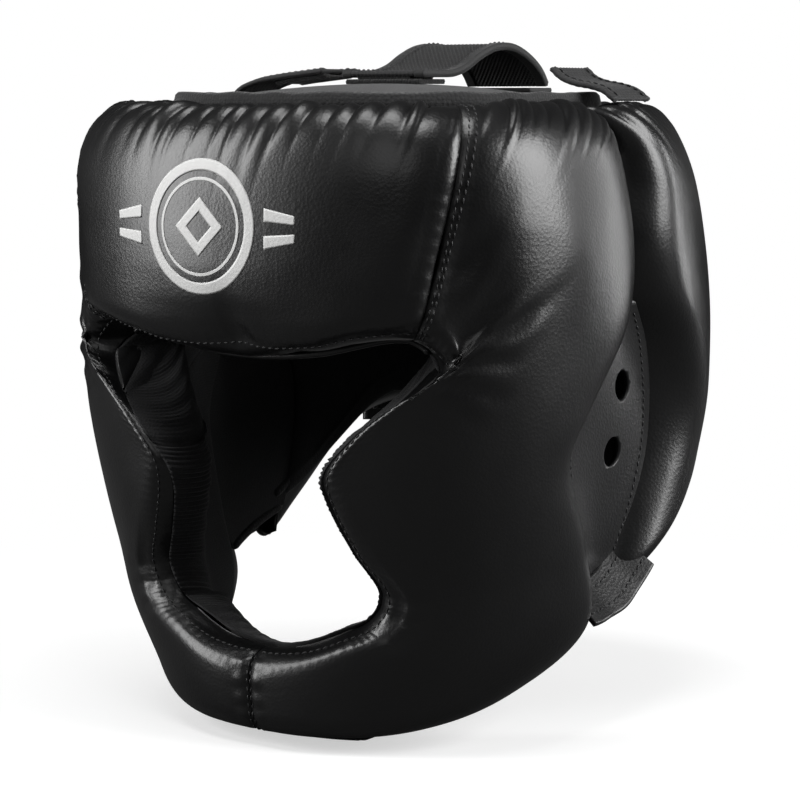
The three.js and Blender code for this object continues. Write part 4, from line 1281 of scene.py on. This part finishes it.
def place_aimed(name, data, location, target):
    obj = bpy.data.objects.new(name, data)
    bpy.context.scene.collection.objects.link(obj)
    obj.location = location
    obj.rotation_mode = "QUATERNION"
    obj.rotation_quaternion = (Vector(target) - location).to_track_quat("-Z", "Y")
    return obj


def make_camera():
    data = bpy.data.cameras.new("camera")
    data.lens, data.sensor_width = LENS, SENSOR
    data.clip_start, data.clip_end = 0.05, 40
    location = camera_space(0, VIEW_DISTANCE, VIEW_HEIGHT + ORIGIN[2])
    target = camera_space(AIM_RIGHT, 0, AIM_HEIGHT + ORIGIN[2])
    bpy.context.scene.camera = place_aimed("camera", data, location, target)


def make_softboxes():
    for name, place, wide, tall, power in SOFTBOXES:
        data = bpy.data.lights.new(name, "AREA")
        data.shape = "RECTANGLE"
        data.size, data.size_y = wide, tall
        data.energy = power
        place_aimed(name, data, camera_space(*place), LIGHT_TARGET)


def shader(tree, kind, *sources, **inputs):
    """First output of a new node, with its first inputs linked to the sources and the named ones set."""
    node = tree.nodes.new(kind)
    for socket, source in zip(node.inputs, sources):
        tree.links.new(source, socket)
    for key, value in inputs.items():
        node.inputs[key].default_value = value
    return node.outputs[0]


def show_camera_only(tree, output, seen, other):
    """Ends a tree in a shader that the camera sees as one thing, and light and reflections as another."""
    is_camera = shader(tree, "ShaderNodeLightPath")
    mixed = shader(tree, "ShaderNodeMixShader", is_camera, other, seen)
    tree.links.new(mixed, tree.nodes[output].inputs["Surface"])


def make_floor():
    """Pale floor that runs into the white background without a horizon."""
    material = bpy.data.materials.new("pale_floor")
    material.use_nodes = True
    tree = material.node_tree
    tree.nodes.remove(tree.nodes["Principled BSDF"])
    matt = shader(tree, "ShaderNodeBsdfDiffuse", Color=(0.55, 0.55, 0.55, 1))
    glow = shader(tree, "ShaderNodeEmission", Strength=0.55)
    near = shader(tree, "ShaderNodeAddShader", matt, glow)
    distance = tree.nodes.new("ShaderNodeVectorMath")
    distance.operation = "LENGTH"
    tree.links.new(shader(tree, "ShaderNodeNewGeometry"), distance.inputs[0])
    fade = tree.nodes.new("ShaderNodeMapRange")
    fade.interpolation_type = "SMOOTHSTEP"
    fade.inputs["From Min"].default_value, fade.inputs["From Max"].default_value = SHADOW_REACH
    tree.links.new(distance.outputs["Value"], fade.inputs["Value"])
    white = shader(tree, "ShaderNodeEmission")
    seen = shader(tree, "ShaderNodeMixShader", fade.outputs["Result"], near, white)
    dim = shader(tree, "ShaderNodeBsdfDiffuse", Color=(0.10, 0.10, 0.10, 1))
    show_camera_only(tree, "Material Output", seen, dim)
    corners = np.array([(-1, -1, 0), (1, -1, 0), (1, 1, 0), (-1, 1, 0)]) * FLOOR_HALF / MM
    floor = mesh_object("floor", corners - ORIGIN / MM, [(0, 1, 2, 3)])
    floor.location.z = -FLOOR_DROP
    floor.data.materials.append(material)


def make_world():
    world = bpy.data.worlds.new("studio")
    bpy.context.scene.world = world
    world.use_nodes = True
    tree = world.node_tree
    dim, white = (shader(tree, "ShaderNodeBackground", Color=(1, 1, 1, 1), Strength=s) for s in (0.05, 1.0))
    tree.nodes.remove(tree.nodes["Background"])
    show_camera_only(tree, "World Output", white, dim)


make_camera()
make_floor()
make_world()
make_softboxes()
bpy.context.scene.view_settings.view_transform = "Standard"
